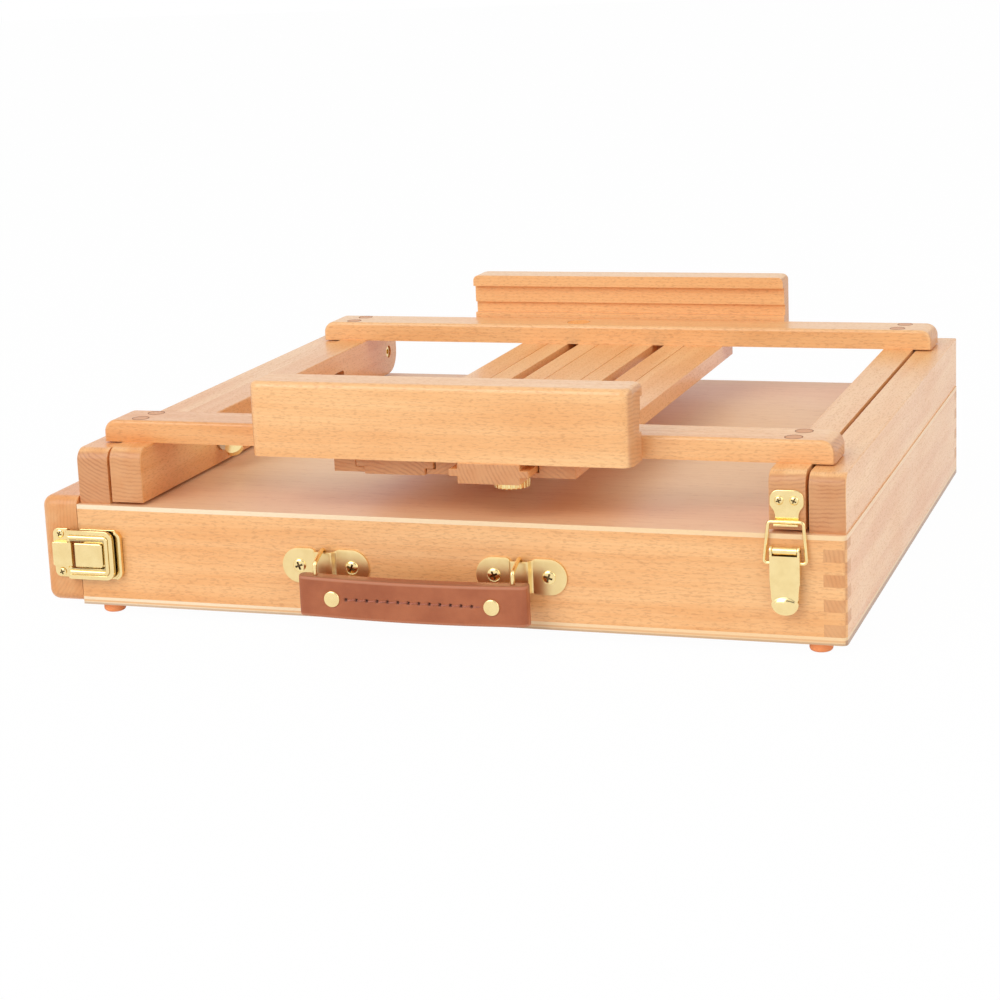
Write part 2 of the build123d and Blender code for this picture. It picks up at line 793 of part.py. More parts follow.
def leather():
    plane = Plane(origin=(0, leather_back, 0), x_dir=(1, 0, 0), z_dir=(0, -1, 0))
    strap = extrude(plane * strap_face(), handle_thickness)
    ends = edges_at(strap, Axis.Z, x=-handle_length / 2) + edges_at(strap, Axis.Z, x=handle_length / 2)
    strap = fillet(ends, handle_edge_radius)
    pocket_z = handle_z - ring_front_drop
    for x in bracket_xs:
        hole = ring_radius + (running_gap if x < 0 else moving_gap)
        strap -= rod((x, ring_front_y, pocket_z), (x, ring_front_y, leather_top + 1), hole)
        strap -= ring_pocket(x, pocket_z)
    face = leather_back - handle_thickness
    for x in rivet_xs:
        strap -= rod((x, leather_back, rivet_z), (x, face, rivet_z), rivet_shank_radius)
    return strap


def ring_pocket(x, z):
    """The opening in the back of the leather that lets the lower bar of a ring swing both ways."""
    depth = leather_back - ring_front_y
    near = ring_radius + moving_gap
    far = near + depth * tan(radians(ring_swing)) + moving_gap
    shape = Polyline((x - near, ring_front_y - near), (x + near, ring_front_y - near),
                     (x + far, leather_back), (x - far, leather_back), close=True)
    tall = ring_bend_radius + 2 * near
    return extrude(Plane.XY.offset(z - 2 * near) * make_face(shape), tall)


def rivet(x):
    """A rivet with a domed head in front and a flat one behind."""
    face = leather_back - handle_thickness
    head = rod((x, face, rivet_z), (x, face - rivet_rise, rivet_z), rivet_radius)
    head = fillet(head.edges().group_by(Axis.Y)[0], rivet_rise * 0.7)
    back = rod((x, leather_back, rivet_z), (x, leather_back + rivet_rise, rivet_z), rivet_radius)
    return head + back + rod((x, face, rivet_z), (x, leather_back, rivet_z), rivet_shank_radius)


# Clasp: a fork hinged to a plate on the drawer's end drops over a button on the box


def clasp_sheet(x, y, tall, radius=0.0):
    """A plate between two distances from the drawer's joint, with its right corners rounded."""
    sheet = cuboid((left + x[0], left + x[1]), y, (clasp_z - tall / 2, clasp_z + tall / 2))
    return fillet(edges_at(sheet, Axis.Y, x=left + x[1]), radius) if radius else sheet


def clasp_plate():
    """The plate on the drawer's end, whose tab curls round the pin between the arms of the fork."""
    y = (front - plate_thickness, front)
    plate = clasp_sheet((clasp_left, clasp_pin_offset - clasp_knuckle_radius), y, clasp_tall)
    plate = fillet(edges_at(plate, Axis.Y, x=left + clasp_left), clasp_corner_radius)
    tab_y = (clasp_pin_y - clasp_knuckle_radius, front)
    plate += clasp_sheet((clasp_left + edge_softening, clasp_pin_offset), tab_y, clasp_tab_tall)
    plate += clasp_rod(clasp_tab_tall, clasp_knuckle_radius)
    return drilled(plate - clasp_pin(), clasp_screws)


def clasp_rod(tall, radius):
    """An upright rod on the clasp's hinge line."""
    half = tall / 2
    return rod((clasp_pin_x, clasp_pin_y, clasp_z - half), (clasp_pin_x, clasp_pin_y, clasp_z + half), radius)


def clasp_pin():
    return clasp_rod(clasp_tall, clasp_pin_radius)


def clasp_fork():
    """A flat fork with a raised rim, open towards its hinge, whose two arms end in knuckles."""
    back = clasp_pin_y + clasp_knuckle_radius - plate_thickness
    y = (clasp_pin_y - clasp_knuckle_radius, back)
    window_tall = clasp_tab_tall + 2 * button_gap
    fork = clasp_sheet((clasp_pin_offset, fork_right), y, clasp_tall, clasp_corner_radius)
    fork += clasp_rod(clasp_tall, clasp_knuckle_radius)
    reach = (clasp_pin_offset - 2 * clasp_knuckle_radius, button_right + button_gap)
    fork -= clasp_sheet(reach, (y[0], front), window_tall, window_corner_radius)
    rim_y = (y[0] - fork_rim_height, y[0])
    rim_right = fork_right - fork_rim_inset
    rim_tall = clasp_tall - 2 * fork_rim_inset
    rim = clasp_sheet((clasp_pin_offset, rim_right), rim_y, rim_tall, clasp_corner_radius)
    inner_tall = rim_tall - 2 * fork_rim_width
    hollow = (clasp_pin_offset, rim_right - fork_rim_width)
    rim -= clasp_sheet(hollow, rim_y, inner_tall, clasp_corner_radius / 2)
    return fork + rim - clasp_rod(clasp_tall, clasp_pin_radius + running_gap)


def clasp_keeper():
    """The base on the box, with a lip at its right end and the button that fills the fork's window."""
    plate_y = (front - plate_thickness, front)
    keeper = clasp_sheet((keeper_left, keeper_right), plate_y, clasp_tall, clasp_corner_radius)
    lip_y = (front - keeper_lip_height, front)
    lip = clasp_sheet((keeper_left, keeper_right), lip_y, clasp_tall, clasp_corner_radius)
    keeper += lip & clasp_sheet((fork_right + keeper_lip_gap, keeper_right), lip_y, clasp_tall)
    face = clasp_pin_y - clasp_knuckle_radius - button_rise
    button = clasp_sheet((keeper_left, button_right), (face, front - plate_thickness), clasp_tab_tall)
    button += clasp_sheet((button_left, button_right), (face, face + plate_thickness), clasp_tab_tall)
    button = fillet(button.faces().sort_by(Axis.Y)[0].edges(), edge_softening)
    return drilled(keeper + button, keeper_screws)


# Toggle latch: the lever turns on the base's barrel and pulls a wire bail down on the strike


def flat_outline(points, plane_y, thickness):
    """A plate standing in front of plane_y, from its corners seen from the front."""
    plane = Plane(origin=(latch_x, plane_y, 0), x_dir=(1, 0, 0), z_dir=(0, -1, 0))
    mirrored = [(-x, z) for x, z in reversed(points)]
    return extrude(plane * make_face(Polyline(*points, *mirrored, close=True)), thickness)


def strike():
    """The plate on the bar's end; its lower edge turns outwards into a shelf."""
    low = strike_shelf_z + plate_thickness
    top = low + strike_height
    shoulder = top - strike_shoulder_drop
    neck = strike_neck_width / 2
    wide = strike_width / 2
    points = [(neck, low), (neck, shoulder - strike_shoulder_slope), (wide, shoulder), (wide, top)]
    plate = flat_outline(points, bar_front, plate_thickness)
    plate = fillet(edges_at(plate, Axis.Y, z=top), strike_corner_radius)
    shelf_y = (bar_front - strike_shelf_reach, bar_front)
    x = (latch_x - neck, latch_x + neck)
    plate += cuboid(x, shelf_y, (strike_shelf_z, strike_shelf_z + plate_thickness))
    return drilled(plate, strike_screws)


def latch_rod(half, z, radius):
    """A rod across the latch, with its middle on the latch's."""
    return rod((latch_x - half, latch_pin_y, z), (latch_x + half, latch_pin_y, z), radius)


def latch_base():
    """The plate under the lever, whose upper edge curls round the pin."""
    half = latch_barrel_length / 2
    x = (latch_x - half, latch_x + half)
    plate = cuboid(x, (plate_face, front), (latch_pin_z - latch_base_height, latch_pin_z))
    plate += cuboid(x, (latch_pin_y, front), (latch_pin_z - latch_barrel_radius, latch_pin_z))
    plate += latch_rod(half, latch_pin_z, latch_barrel_radius)
    plate -= latch_rod(half, latch_pin_z, latch_pin_radius)
    return drilled(plate, latch_screws)


def latch_pin():
    return latch_rod(flange_outer, latch_pin_z, latch_pin_radius)


def latch_lever():
    """A tapered lever with a domed tip; its two side flanges turn on the pin and hold the bail."""
    top = latch_pin_z - latch_barrel_radius - moving_gap
    tip = latch_pin_z - lever_length
    narrow = lever_tip_width / 2
    points = [(narrow, tip), (narrow, tip + lever_dome_length), (flange_outer, top)]
    lever = flat_outline(points, lever_face, plate_thickness)
    lever = fillet(edges_at(lever, Axis.Y, z=tip), lever_tip_radius)
    lever += dome(tip + lever_dome_length / 2)
    for side in (-1, 1):
        x = sorted((latch_x + side * flange_inner, latch_x + side * flange_outer))
        flange = cuboid(x, (lever_face - plate_thickness, plate_face - moving_gap), (flange_low, latch_pin_z))
        ear = rod((x[0], latch_pin_y, latch_pin_z), (x[1], latch_pin_y, latch_pin_z), flange_ear_radius)
        lever += flange + ear
    lever -= latch_rod(flange_outer, latch_pin_z, latch_pin_radius + running_gap)
    return lever - latch_rod(flange_outer, bail_pivot_z, bail_wire_radius + running_gap)


def dome(z):
    """The finger grip that bulges from the end of the lever."""
    crown = lever_face - plate_thickness - lever_dome_rise
    grip = rod((latch_x, lever_face - plate_thickness / 2, z), (latch_x, crown, z), lever_dome_length / 2)
    return fillet(grip.edges().group_by(Axis.Y)[0], lever_dome_rise)


def bail():
    """The wire loop: its ends turn in to the lever's flanges and its top bar sits on the strike's shelf."""
    inner = flange_inner + moving_gap
    low = bail_foot_width / 2
    high = bail_top_width / 2
    points = [(latch_x - inner, latch_pin_y, bail_pivot_z), (latch_x - low, latch_pin_y, bail_pivot_z),
              (latch_x - high, bail_bar_y, bail_bar_z), (latch_x + high, bail_bar_y, bail_bar_z),
              (latch_x + low, latch_pin_y, bail_pivot_z), (latch_x + inner, latch_pin_y, bail_pivot_z)]
    wire = FilletPolyline(*points, radius=bail_bend_radius)
    start = Plane(origin=wire @ 0, z_dir=wire % 0)
    return sweep(start * Circle(bail_wire_radius), path=wire)


save("front_wall", long_wall(front))
save("rear_wall", long_wall(rear - wall_thickness))
save("end_wall", end_wall())
save("bottom_panel", panel(bottom_z, bottom_thickness))
save("deck_panel", panel(deck_z, deck_thickness))
save("feet", *feet())
save("left_rail", side_rail(-1))
save("right_rail", side_rail(1))
save("frame_pivot_screws", pivot_screw(-1), pivot_screw(1))
save("strut_pins", strut_pin(-1), strut_pin(1))

save("drawer_front", drawer_front())
save("drawer_front_side", drawer_side(drawer_y[0]))
save("drawer_rear_side", drawer_side(drawer_inner_y[1]))
save("drawer_back", drawer_back())
save("drawer_bottom", drawer_bottom())
save("drawer_divider", divider())
save("drawer_cross_divider", cross_divider())

save("left_bar", frame_bar(-1))
save("right_bar", frame_bar(1))
save("front_cross_bar", cross_bar(front_bar_y))
save("rear_cross_bar", cross_bar(rear_bar_y))
save("cross_bar_plugs", *plugs())
save("left_slide_rail", left_slide_rail())
save("centre_slide_rail", centre_slide_rail())
save("right_slide_rail", right_slide_rail())
save("lock_bolts", lock_bolt(front_bar_y), lock_bolt(rear_bar_y))
save("front_thumb_nut", thumb_nut(front_bar_y))
save("rear_thumb_nut", thumb_nut(rear_bar_y))

save("front_slide", front_slide())
save("front_holder", holder(front_slide_x, front_holder_y, 1))
save("front_holder_screws", *holder_screws(front_slide_x, front_holder_y))
save("rear_slide", rear_slide())
save("rear_holder", holder(rear_slide_x, rear_holder_y, -1))
save("rear_holder_screws", *holder_screws(rear_slide_x, rear_holder_y))

for side, name in ((-1, "left"), (1, "right")):
    save(f"{name}_strut", strut(side))
    save(f"{name}_strut_bolt", strut_bolt(side))
    save(f"{name}_washer", washer(side))
    save(f"{name}_wing_nut", wing_nut(side))

save("handle_brackets", *[bracket(x) for x in bracket_xs])
save("fitting_screws", *[screw(point) for point in bracket_screws + latch_screws])
save("left_handle_ring", ring(bracket_xs[0]))
save("right_handle_ring", ring(bracket_xs[1]))
save("handle_leather", leather())
save("handle_rivets", *[rivet(x) for x in rivet_xs])

save("clasp_plate", clasp_plate())
save("clasp_screws", *[screw(point, clasp_screw_radius) for point in clasp_screws])
save("clasp_pin", clasp_pin())
save("clasp_fork", clasp_fork())
save("clasp_keeper", clasp_keeper())
save("keeper_screws", *[screw(point, clasp_screw_radius) for point in keeper_screws])

save("latch_strike", strike())
save("strike_screws", *[screw(point, strike_screw_radius) for point in strike_screws])
save("latch_base", latch_base())
save("latch_pin", latch_pin())
save("latch_lever", latch_lever())
save("latch_bail", bail())
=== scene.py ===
from math import cos, exp, pi, radians, sin, sqrt, tan

import bpy
from mathutils import Matrix, Vector


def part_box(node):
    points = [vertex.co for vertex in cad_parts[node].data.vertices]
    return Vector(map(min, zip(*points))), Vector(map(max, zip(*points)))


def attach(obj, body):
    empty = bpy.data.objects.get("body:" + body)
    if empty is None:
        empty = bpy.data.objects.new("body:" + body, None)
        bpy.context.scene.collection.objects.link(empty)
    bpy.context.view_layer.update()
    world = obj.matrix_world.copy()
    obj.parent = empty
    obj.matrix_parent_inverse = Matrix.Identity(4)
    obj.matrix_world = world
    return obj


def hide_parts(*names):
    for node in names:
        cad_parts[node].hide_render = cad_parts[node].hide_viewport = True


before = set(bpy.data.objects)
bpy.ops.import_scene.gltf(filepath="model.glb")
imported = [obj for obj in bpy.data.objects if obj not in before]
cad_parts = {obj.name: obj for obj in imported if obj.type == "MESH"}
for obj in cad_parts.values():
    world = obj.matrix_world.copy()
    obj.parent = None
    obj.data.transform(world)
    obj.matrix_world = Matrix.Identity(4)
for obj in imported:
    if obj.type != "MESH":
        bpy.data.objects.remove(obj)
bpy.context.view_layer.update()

MM = 0.001


# Finishes


def shade(red, green, blue):
    """A paint maker's colour, each part from 0 to 255, as the shaders take it."""
    parts = [part / 255 for part in (red, green, blue)]
    return (*[part / 12.92 if part < 0.04045 else ((part + 0.055) / 1.055) ** 2.4 for part in parts], 1.0)


class Varying:
    """A number that varies over a surface; sums on it become the finish's maths nodes."""

    def __init__(self, finish, socket):
        self.finish = finish
        self.socket = socket

    def maths(self, operation, first, second=0.0):
        return self.finish.node("Math", {"operation": operation}, {0: first, 1: second})

    def __add__(self, other):
        return self.maths("ADD", self, other)

    def __radd__(self, other):
        return self.maths("ADD", other, self)

    def __sub__(self, other):
        return self.maths("SUBTRACT", self, other)

    def __rsub__(self, other):
        return self.maths("SUBTRACT", other, self)

    def __mul__(self, other):
        return self.maths("MULTIPLY", self, other)

    def __rmul__(self, other):
        return self.maths("MULTIPLY", other, self)

    def __pow__(self, other):
        return self.maths("POWER", self, other)

    def __abs__(self):
        return self.maths("ABSOLUTE", self)

    def wave(self):
        """A smooth wave from 0 to 1 over the number as an angle."""
        return self.maths("SINE", self) * 0.5 + 0.5

    def rising(self, low, high):
        """0 below low, 1 above high and smooth between."""
        settings = {"interpolation_type": "SMOOTHSTEP"}
        return self.finish.node("MapRange", settings, {0: self, 1: low, 2: high})


class Finish:
    """One material, whose surface is built from nodes."""

    def __init__(self, name, constants):
        self.material = bpy.data.materials.new(name)
        self.material.use_nodes = True
        self.tree = self.material.node_tree
        self.shader = self.tree.nodes["Principled BSDF"]
        for socket, value in constants.items():
            self.shader.inputs[socket].default_value = value
        self.place = self.node("TexCoord", output="Object")
        self.facing = self.node("TexCoord", output="Normal")

    def node(self, kind, settings=None, inputs=None, output=0):
        """Adds a node: its settings first, then what goes into its sockets."""
        made = self.tree.nodes.new("ShaderNode" + kind)
        for name, value in (settings or {}).items():
            setattr(made, name, value)
        for socket, value in (inputs or {}).items():
            self.feed(made.inputs[socket], value)
        return Varying(self, made.outputs[output])

    def feed(self, socket, value):
        if isinstance(value, Varying):
            self.tree.links.new(value.socket, socket)
        else:
            socket.default_value = value

    def vector(self, operation, first, second, output=0):
        return self.node("VectorMath", {"operation": operation}, {0: first, 1: second}, output)

    def along(self, direction):
        """How far a point lies in a direction."""
        return self.vector("DOT_PRODUCT", self.place, direction, "Value")

    def faces(self, direction):
        """1 where the surface looks along a direction, either way, and 0 where it is square to it."""
        return abs(self.vector("DOT_PRODUCT", self.facing, direction, "Value")).rising(0.55, 0.8)

    def noise(self, scales, detail=2.0, shift=(0.0, 0.0, 0.0)):
        """Cloudy numbers about 0.5, with so many clouds in a metre along each axis."""
        moved = self.vector("ADD", self.place, shift)
        stretched = self.vector("MULTIPLY", moved, scales)
        return self.node("TexNoise", {}, {"Vector": stretched, "Scale": 1.0, "Detail": detail})

    def clouds(self, scale, detail=2.0, shift=(0.0, 0.0, 0.0)):
        """Noise that is the same along every axis."""
        return self.noise((scale, scale, scale), detail, shift)

    def mix(self, share, first, second):
        """Colours: the first where the share is 0 and the second where it is 1."""
        return self.node("Mix", {"data_type": "RGBA"}, {0: share, 6: first, 7: second}, 2)

    def coat(self, colour, roughness, height, depth):
        """Joins the surface's colour, roughness and relief, whose depth is in metres, to the shader."""
        self.feed(self.shader.inputs["Base Color"], colour)
        self.feed(self.shader.inputs["Roughness"], roughness)
        relief = self.node("Bump", {}, {"Strength": 1.0, "Distance": depth, "Height": height})
        self.feed(self.shader.inputs["Normal"], relief)
        return self.material


AXES = {"x": (1.0, 0.0, 0.0), "y": (0.0, 1.0, 0.0), "z": (0.0, 0.0, 1.0)}
FAIR_BEECH = shade(254, 201, 140)
DEEP_BEECH = shade(236, 160, 88)
PLY_BEECH = shade(250, 208, 163)
DEEP_PLY_BEECH = shade(236, 186, 140)
FLECK_BROWN = shade(168, 92, 44)
END_GRAIN = shade(204, 138, 90)
END_RING = shade(172, 100, 60)
PALE_PLY_EDGE = shade(253, 232, 198)
PEACH_PLY_EDGE = shade(252, 217, 167)
MIDDLE_PLY = shade(238, 190, 138)
PLY_THREAD = shade(226, 178, 128)
PLY_PAINTED_SHADE = shade(172, 132, 104)
BRASS_PAINTED_SHADE = shade(70, 46, 26)
LEATHER_PAINTED_SHADE = shade(74, 30, 18)
LEATHER_WEAR_AND_HIGHLIGHT = shade(214, 150, 116)
RING_SPACING = 2.1 * MM


def stretch(along, run, cross):
    """Cloud counts for a grain that runs along one axis."""
    return tuple(run if part else cross for part in AXES[along])


def oiled_beech(name, along, pith, tone, end_depth, lean=0.0):
    """A beech plank: its rings lie round a pith outside the plank, and its flecks run along the grain."""
    finish = Finish(name, {"IOR": 1.5, "Coat Weight": 0.35, "Coat Roughness": 0.18})
    shift = tuple(7.3 * part for part in pith)
    across = tuple(1.0 - part for part in AXES[along])
    to_pith = finish.vector("MULTIPLY", finish.vector("SUBTRACT", finish.place, pith), across)
    drift = finish.noise(stretch(along, 4.0, 24.0), 2.0, shift)
    wobble = finish.clouds(260.0, 2.0, shift)
    radius = finish.vector("LENGTH", to_pith, (0.0, 0.0, 0.0), "Value") + drift * 0.007 + wobble * 0.0016
    ring = (radius * (2 * pi / RING_SPACING)).wave() ** 2.0
    patchy = finish.clouds(90.0, 2.0, shift)
    end = finish.faces(AXES[along])
    bands = finish.noise(stretch(along, 5.0, 90.0), 3.0, shift).rising(0.3, 0.72)
    cloud = finish.clouds(14.0, 2.0, shift)
    flecks = finish.noise(stretch(along, 330.0, 1500.0), 2.0, shift).rising(0.5, 0.68)
    streaks = finish.noise(stretch(along, 70.0, 760.0), 3.0, shift).rising(0.5, 0.8)
    pores = finish.clouds(1900.0, 1.0, shift)
    depth = bands * 0.45 + tone + 0.14 + (cloud - 0.5) * 0.4 + finish.along(AXES[along]) * lean
    colour = finish.mix(depth.rising(0.0, 1.0), FAIR_BEECH, DEEP_BEECH)
    colour = finish.mix(ring * (1 - end) * 0.16, colour, DEEP_BEECH)
    colour = finish.mix((streaks * 0.1 + flecks * 0.24) * (1 - end), colour, FLECK_BROWN)
    ringed = ring * patchy.rising(0.2, 0.65) * 0.9 + (pores - 0.5) * 0.4
    board_end = finish.mix(ringed, END_GRAIN, END_RING)
    colour = finish.mix(end * end_depth, colour, board_end)
    height = pores * 0.35 - flecks * 0.8 - streaks * 0.3 + ring * end * 0.7
    return finish.coat(colour, 0.3 + flecks * 0.12 + cloud * 0.12 + end * 0.2, height, 0.05 * MM)


def plywood(name, low, high, plies, shift, end_colour, end_share, under_shade_share):
    """Beech-faced plywood between two heights: its face grain runs along X, its plies show on the edges,
    which are darkened with painted shade towards the underside and at their lower ends.
    """
    finish = Finish(name, {"IOR": 1.5, "Coat Weight": 0.2, "Coat Roughness": 0.25})
    run = stretch("x", 3.0, 42.0)
    swirl = finish.noise(run, 2.0, shift)
    figure = ((swirl * 9.0 + finish.along(AXES["y"]) * 40.0) * (2 * pi)).wave() ** 2.0
    flecks = finish.noise(stretch("x", 130.0, 1200.0), 2.0, shift).rising(0.6, 0.74)
    cloud = finish.noise((9.0, 16.0, 16.0), 2.0, shift)
    colour = finish.mix((figure * 0.16 + cloud * 0.5 + 0.05).rising(0.0, 1.0), PLY_BEECH, DEEP_PLY_BEECH)
    colour = finish.mix(flecks * 0.3, colour, FLECK_BROWN)
    face = finish.faces(AXES["z"])
    layer = (finish.along(AXES["z"]) - low) * (plies * pi / (high - low))
    middle_ply = (1 - layer.wave()).rising(0.62, 0.8)
    threads = finish.noise((500.0, 500.0, 2400.0), 2.0, shift)
    warming = (finish.along(AXES["x"]) * 2.2).rising(-0.4, 0.45)
    edge = finish.mix(warming, PALE_PLY_EDGE, PEACH_PLY_EDGE)
    edge = finish.mix(middle_ply * float(plies > 1), edge, MIDDLE_PLY)
    edge = finish.mix((threads - 0.45) * 0.6, edge, PLY_THREAD)
    # Painted shade: the edges darken towards the underside and at the lower part of the ends
    upper = (finish.along(AXES["z"]) - low) * (1 / (high - low))
    edge = finish.mix((1 - upper.rising(0.15, 0.4)) * under_shade_share, edge, end_colour)
    end = finish.faces(AXES["x"]) * (1 - upper.rising(0.5, 0.75) * 0.85)
    edge = finish.mix(end * end_share, edge, end_colour)
    colour = finish.mix(face, edge, colour)
    return finish.coat(colour, 0.34 + cloud * 0.15 + flecks * 0.1, threads * 0.5 - flecks * 0.6, 0.04 * MM)


def metal(name, bright, dull, roughness):
    """Polished metal with faint wear, fine brush lines and painted shade where its mesh is marked."""
    finish = Finish(name, {"Metallic": 1.0})
    wear = finish.clouds(160.0, 3.0)
    lines = finish.noise((3500.0, 3500.0, 260.0), 2.0)
    spots = finish.clouds(900.0, 2.0).rising(0.62, 0.78)
    colour = finish.mix(wear.rising(0.3, 0.75) * 0.3 + spots * 0.06, bright, dull)
    # Painted shade: where a mesh is marked, the brass darkens towards a dark brown
    painted_shade = finish.node("Attribute", {"attribute_name": "painted_shade"}, output="Fac")
    colour = finish.mix(painted_shade * 0.9, colour, BRASS_PAINTED_SHADE)
    return finish.coat(colour, roughness + wear * 0.06 + spots * 0.04, lines * 0.5 + wear, 0.004 * MM)


def tanned_leather():
    """Smooth brown leather with fine pores, paler along its front edges as wear and painted highlight, and
    darker with painted shade in its stitch holes and on its top.
    """
    finish = Finish("tanned_leather", {"IOR": 1.45})
    pores = finish.node("TexVoronoi", {}, {"Vector": finish.place, "Scale": 1500.0})
    creases = finish.noise((240.0, 700.0, 700.0), 4.0)
    cloud = finish.clouds(60.0, 3.0)
    colour = finish.mix(cloud.rising(0.25, 0.8), shade(182, 106, 68), shade(160, 86, 52))
    wear_and_highlight = finish.node("Attribute", {"attribute_name": "wear_and_highlight"}, output="Fac")
    painted_shade = finish.node("Attribute", {"attribute_name": "painted_shade"}, output="Fac")
    # Wear and painted highlight along the front edges
    colour = finish.mix(wear_and_highlight * (0.1 + cloud * 0.5), colour, LEATHER_WEAR_AND_HIGHLIGHT)
    # Painted shade in the stitch holes and on the top face
    colour = finish.mix(painted_shade, colour, LEATHER_PAINTED_SHADE)
    height = pores * 0.5 + creases * 0.8
    return finish.coat(colour, 0.36 + creases * 0.2, height, 0.06 * MM)


def waxed_thread():
    finish = Finish("waxed_thread", {"Sheen Weight": 0.2})
    twist = (finish.along((3200.0, 0.0, 5200.0)) * (2 * pi)).wave()
    colour = finish.mix(twist, shade(178, 98, 74), shade(210, 126, 98))
    return finish.coat(colour, 0.6 + twist * 0.1, twist, 0.08 * MM)


def soft_rubber():
    finish = Finish("soft_rubber", {"IOR": 1.5})
    cloud = finish.clouds(300.0, 3.0)
    grit = finish.clouds(2600.0, 2.0)
    colour = finish.mix(cloud, shade(255, 170, 108), shade(246, 148, 92))
    return finish.coat(colour, 0.5 + grit * 0.15, grit, 0.04 * MM)


def glue_line():
    finish = Finish("glue_line", {})
    cloud = finish.clouds(900.0, 2.0)
    colour = finish.mix(cloud, shade(150, 84, 44), shade(104, 56, 30))
    return finish.coat(colour, 0.6 + cloud * 0.1, cloud, 0.01 * MM)


BRASS = metal("polished_brass", shade(250, 226, 166), shade(228, 194, 126), 0.15)
SATIN_BRASS = metal("satin_brass", shade(246, 220, 160), shade(224, 190, 124), 0.27)
STEEL = metal("zinc_steel", shade(214, 212, 204), shade(176, 172, 162), 0.26)
LEATHER = tanned_leather()
THREAD = waxed_thread()


# Shapes: outlines, wires and turned pieces in millimetres, in a frame whose first two axes lie in the work's
# face and whose third stands out of it


def rounded(corners, radii, closed=True):
    """The corners with arcs in their place; radii is one radius or one for each corner."""
    points = []
    steps = 7
    count = len(corners)
    for index, corner in enumerate(map(Vector, corners)):
        radius = radii[index] if isinstance(radii, (list, tuple)) else radii
        if not radius or (not closed and index in (0, count - 1)):
            points.append(corner)
            continue
        before = (Vector(corners[index - 1]) - corner).normalized()
        after = (Vector(corners[(index + 1) % count]) - corner).normalized()
        half = before.angle(after) / 2
        centre = corner + (before + after).normalized() * (radius / sin(half))
        start = corner + before * (radius / tan(half)) - centre
        end = corner + after * (radius / tan(half)) - centre
        turn = start.angle(end)
        for step in range(steps + 1):
            share = step / steps
            points.append(centre + (start * sin((1 - share) * turn) + end * sin(share * turn)) / sin(turn))
    return points


def smooth_step(share):
    share = min(1.0, max(0.0, share))
    return share * share * (3 - 2 * share)


def both_sides(right_side):
    """A whole outline from its right half, listed from the bottom up."""
    return [*right_side, *[(-x, z) for x, z in reversed(right_side)]]


def block_outline(low, high):
    return [(low[0], low[1]), (high[0], low[1]), (high[0], high[1]), (low[0], high[1])]


def baked(source, modifiers=()):
    """The mesh of a curve or mesh once its modifiers are applied."""
    maker = bpy.data.objects.new("maker", source)
    bpy.context.scene.collection.objects.link(maker)
    for kind, settings in modifiers:
        modifier = maker.modifiers.new(kind, kind)
        for name, value in settings.items():
            setattr(modifier, name, value)
    graph = bpy.context.evaluated_depsgraph_get()
    mesh = bpy.data.meshes.new_from_object(maker.evaluated_get(graph))
    bpy.data.objects.remove(maker)
    return mesh


def stamped(outlines, low, high, softened):
    """Sheet between two heights with softened edges; the outlines after the first are holes."""
    curve = bpy.data.curves.new("outline", "CURVE")
    curve.dimensions = "2D"
    curve.fill_mode = "BOTH"
    curve.extrude = (high - low) / 2 - softened
    curve.bevel_depth = softened
    curve.bevel_resolution = 2
    curve.offset = -softened
    for outline in outlines:
        spline = curve.splines.new("POLY")
        spline.points.add(len(outline) - 1)
        for point, place in zip(spline.points, outline):
            point.co = (place[0], place[1], 0.0, 1.0)
        spline.use_cyclic_u = True
    mesh = baked(curve)
    mesh.transform(Matrix.Translation((0.0, 0.0, (low + high) / 2)))
    return mesh


def wire(points, radius):
    """A round wire along points."""
    curve = bpy.data.curves.new("wire", "CURVE")
    curve.dimensions = "3D"
    curve.bevel_depth = radius
    curve.bevel_resolution = 4
    curve.use_fill_caps = True
    spline = curve.splines.new("POLY")
    spline.points.add(len(points) - 1)
    for point, place in zip(spline.points, points):
        point.co = (*place, 1.0)
    return baked(curve)


def skin(rows, closed_rows=False, capped=False):
    """A surface through rows of points; closed rows make a tube, which may be capped."""
    mesh = bpy.data.meshes.new("skin")
    width = len(rows[0])
    faces = []
    for row in range(len(rows) - 1):
        for column in range(width if closed_rows else width - 1):
            after = (column + 1) % width
            faces.append((row * width + column, row * width + after,
                          (row + 1) * width + after, (row + 1) * width + column))
    if capped:
        faces.append(tuple(reversed(range(width))))
        faces.append(tuple(range((len(rows) - 1) * width, len(rows) * width)))
    mesh.from_pydata([tuple(point) for row in rows for point in row], [], faces)
    return mesh


def with_painted_shade(mesh, share):
    """The mesh, all of it marked for painted shade by that share."""
    painted_shade = mesh.attributes.new("painted_shade", "FLOAT", "POINT")
    for mark in painted_shade.data:
        mark.value = share
    return mesh


def turned(profile, segments=48):
    """A piece turned about the third axis, from its profile of radii and heights, back to front."""
    rows = []
    for radius, height in profile:
        turns = [2 * pi * index / segments for index in range(segments)]
        rows.append([(radius * cos(turn), radius * sin(turn), height) for turn in turns])
    return skin(rows, closed_rows=True, capped=True)


def arc(centre, radii, start, end, steps=8):
    """Points of a profile along a quarter or so of an ellipse."""
    turns = [radians(start + (end - start) * step / steps) for step in range(steps + 1)]
    return [(centre[0] + radii[0] * cos(turn), centre[1] + radii[1] * sin(turn)) for turn in turns]


def carved(mesh, cutter):
    """The mesh with the cutter's room taken out of it."""
    tool = bpy.data.objects.new("tool", cutter)
    bpy.context.scene.collection.objects.link(tool)
    bpy.context.view_layer.update()
    settings = {"object": tool, "operation": "DIFFERENCE", "solver": "EXACT"}
    result = baked(mesh, [("BOOLEAN", settings)])
    bpy.data.objects.remove(tool)
    return result


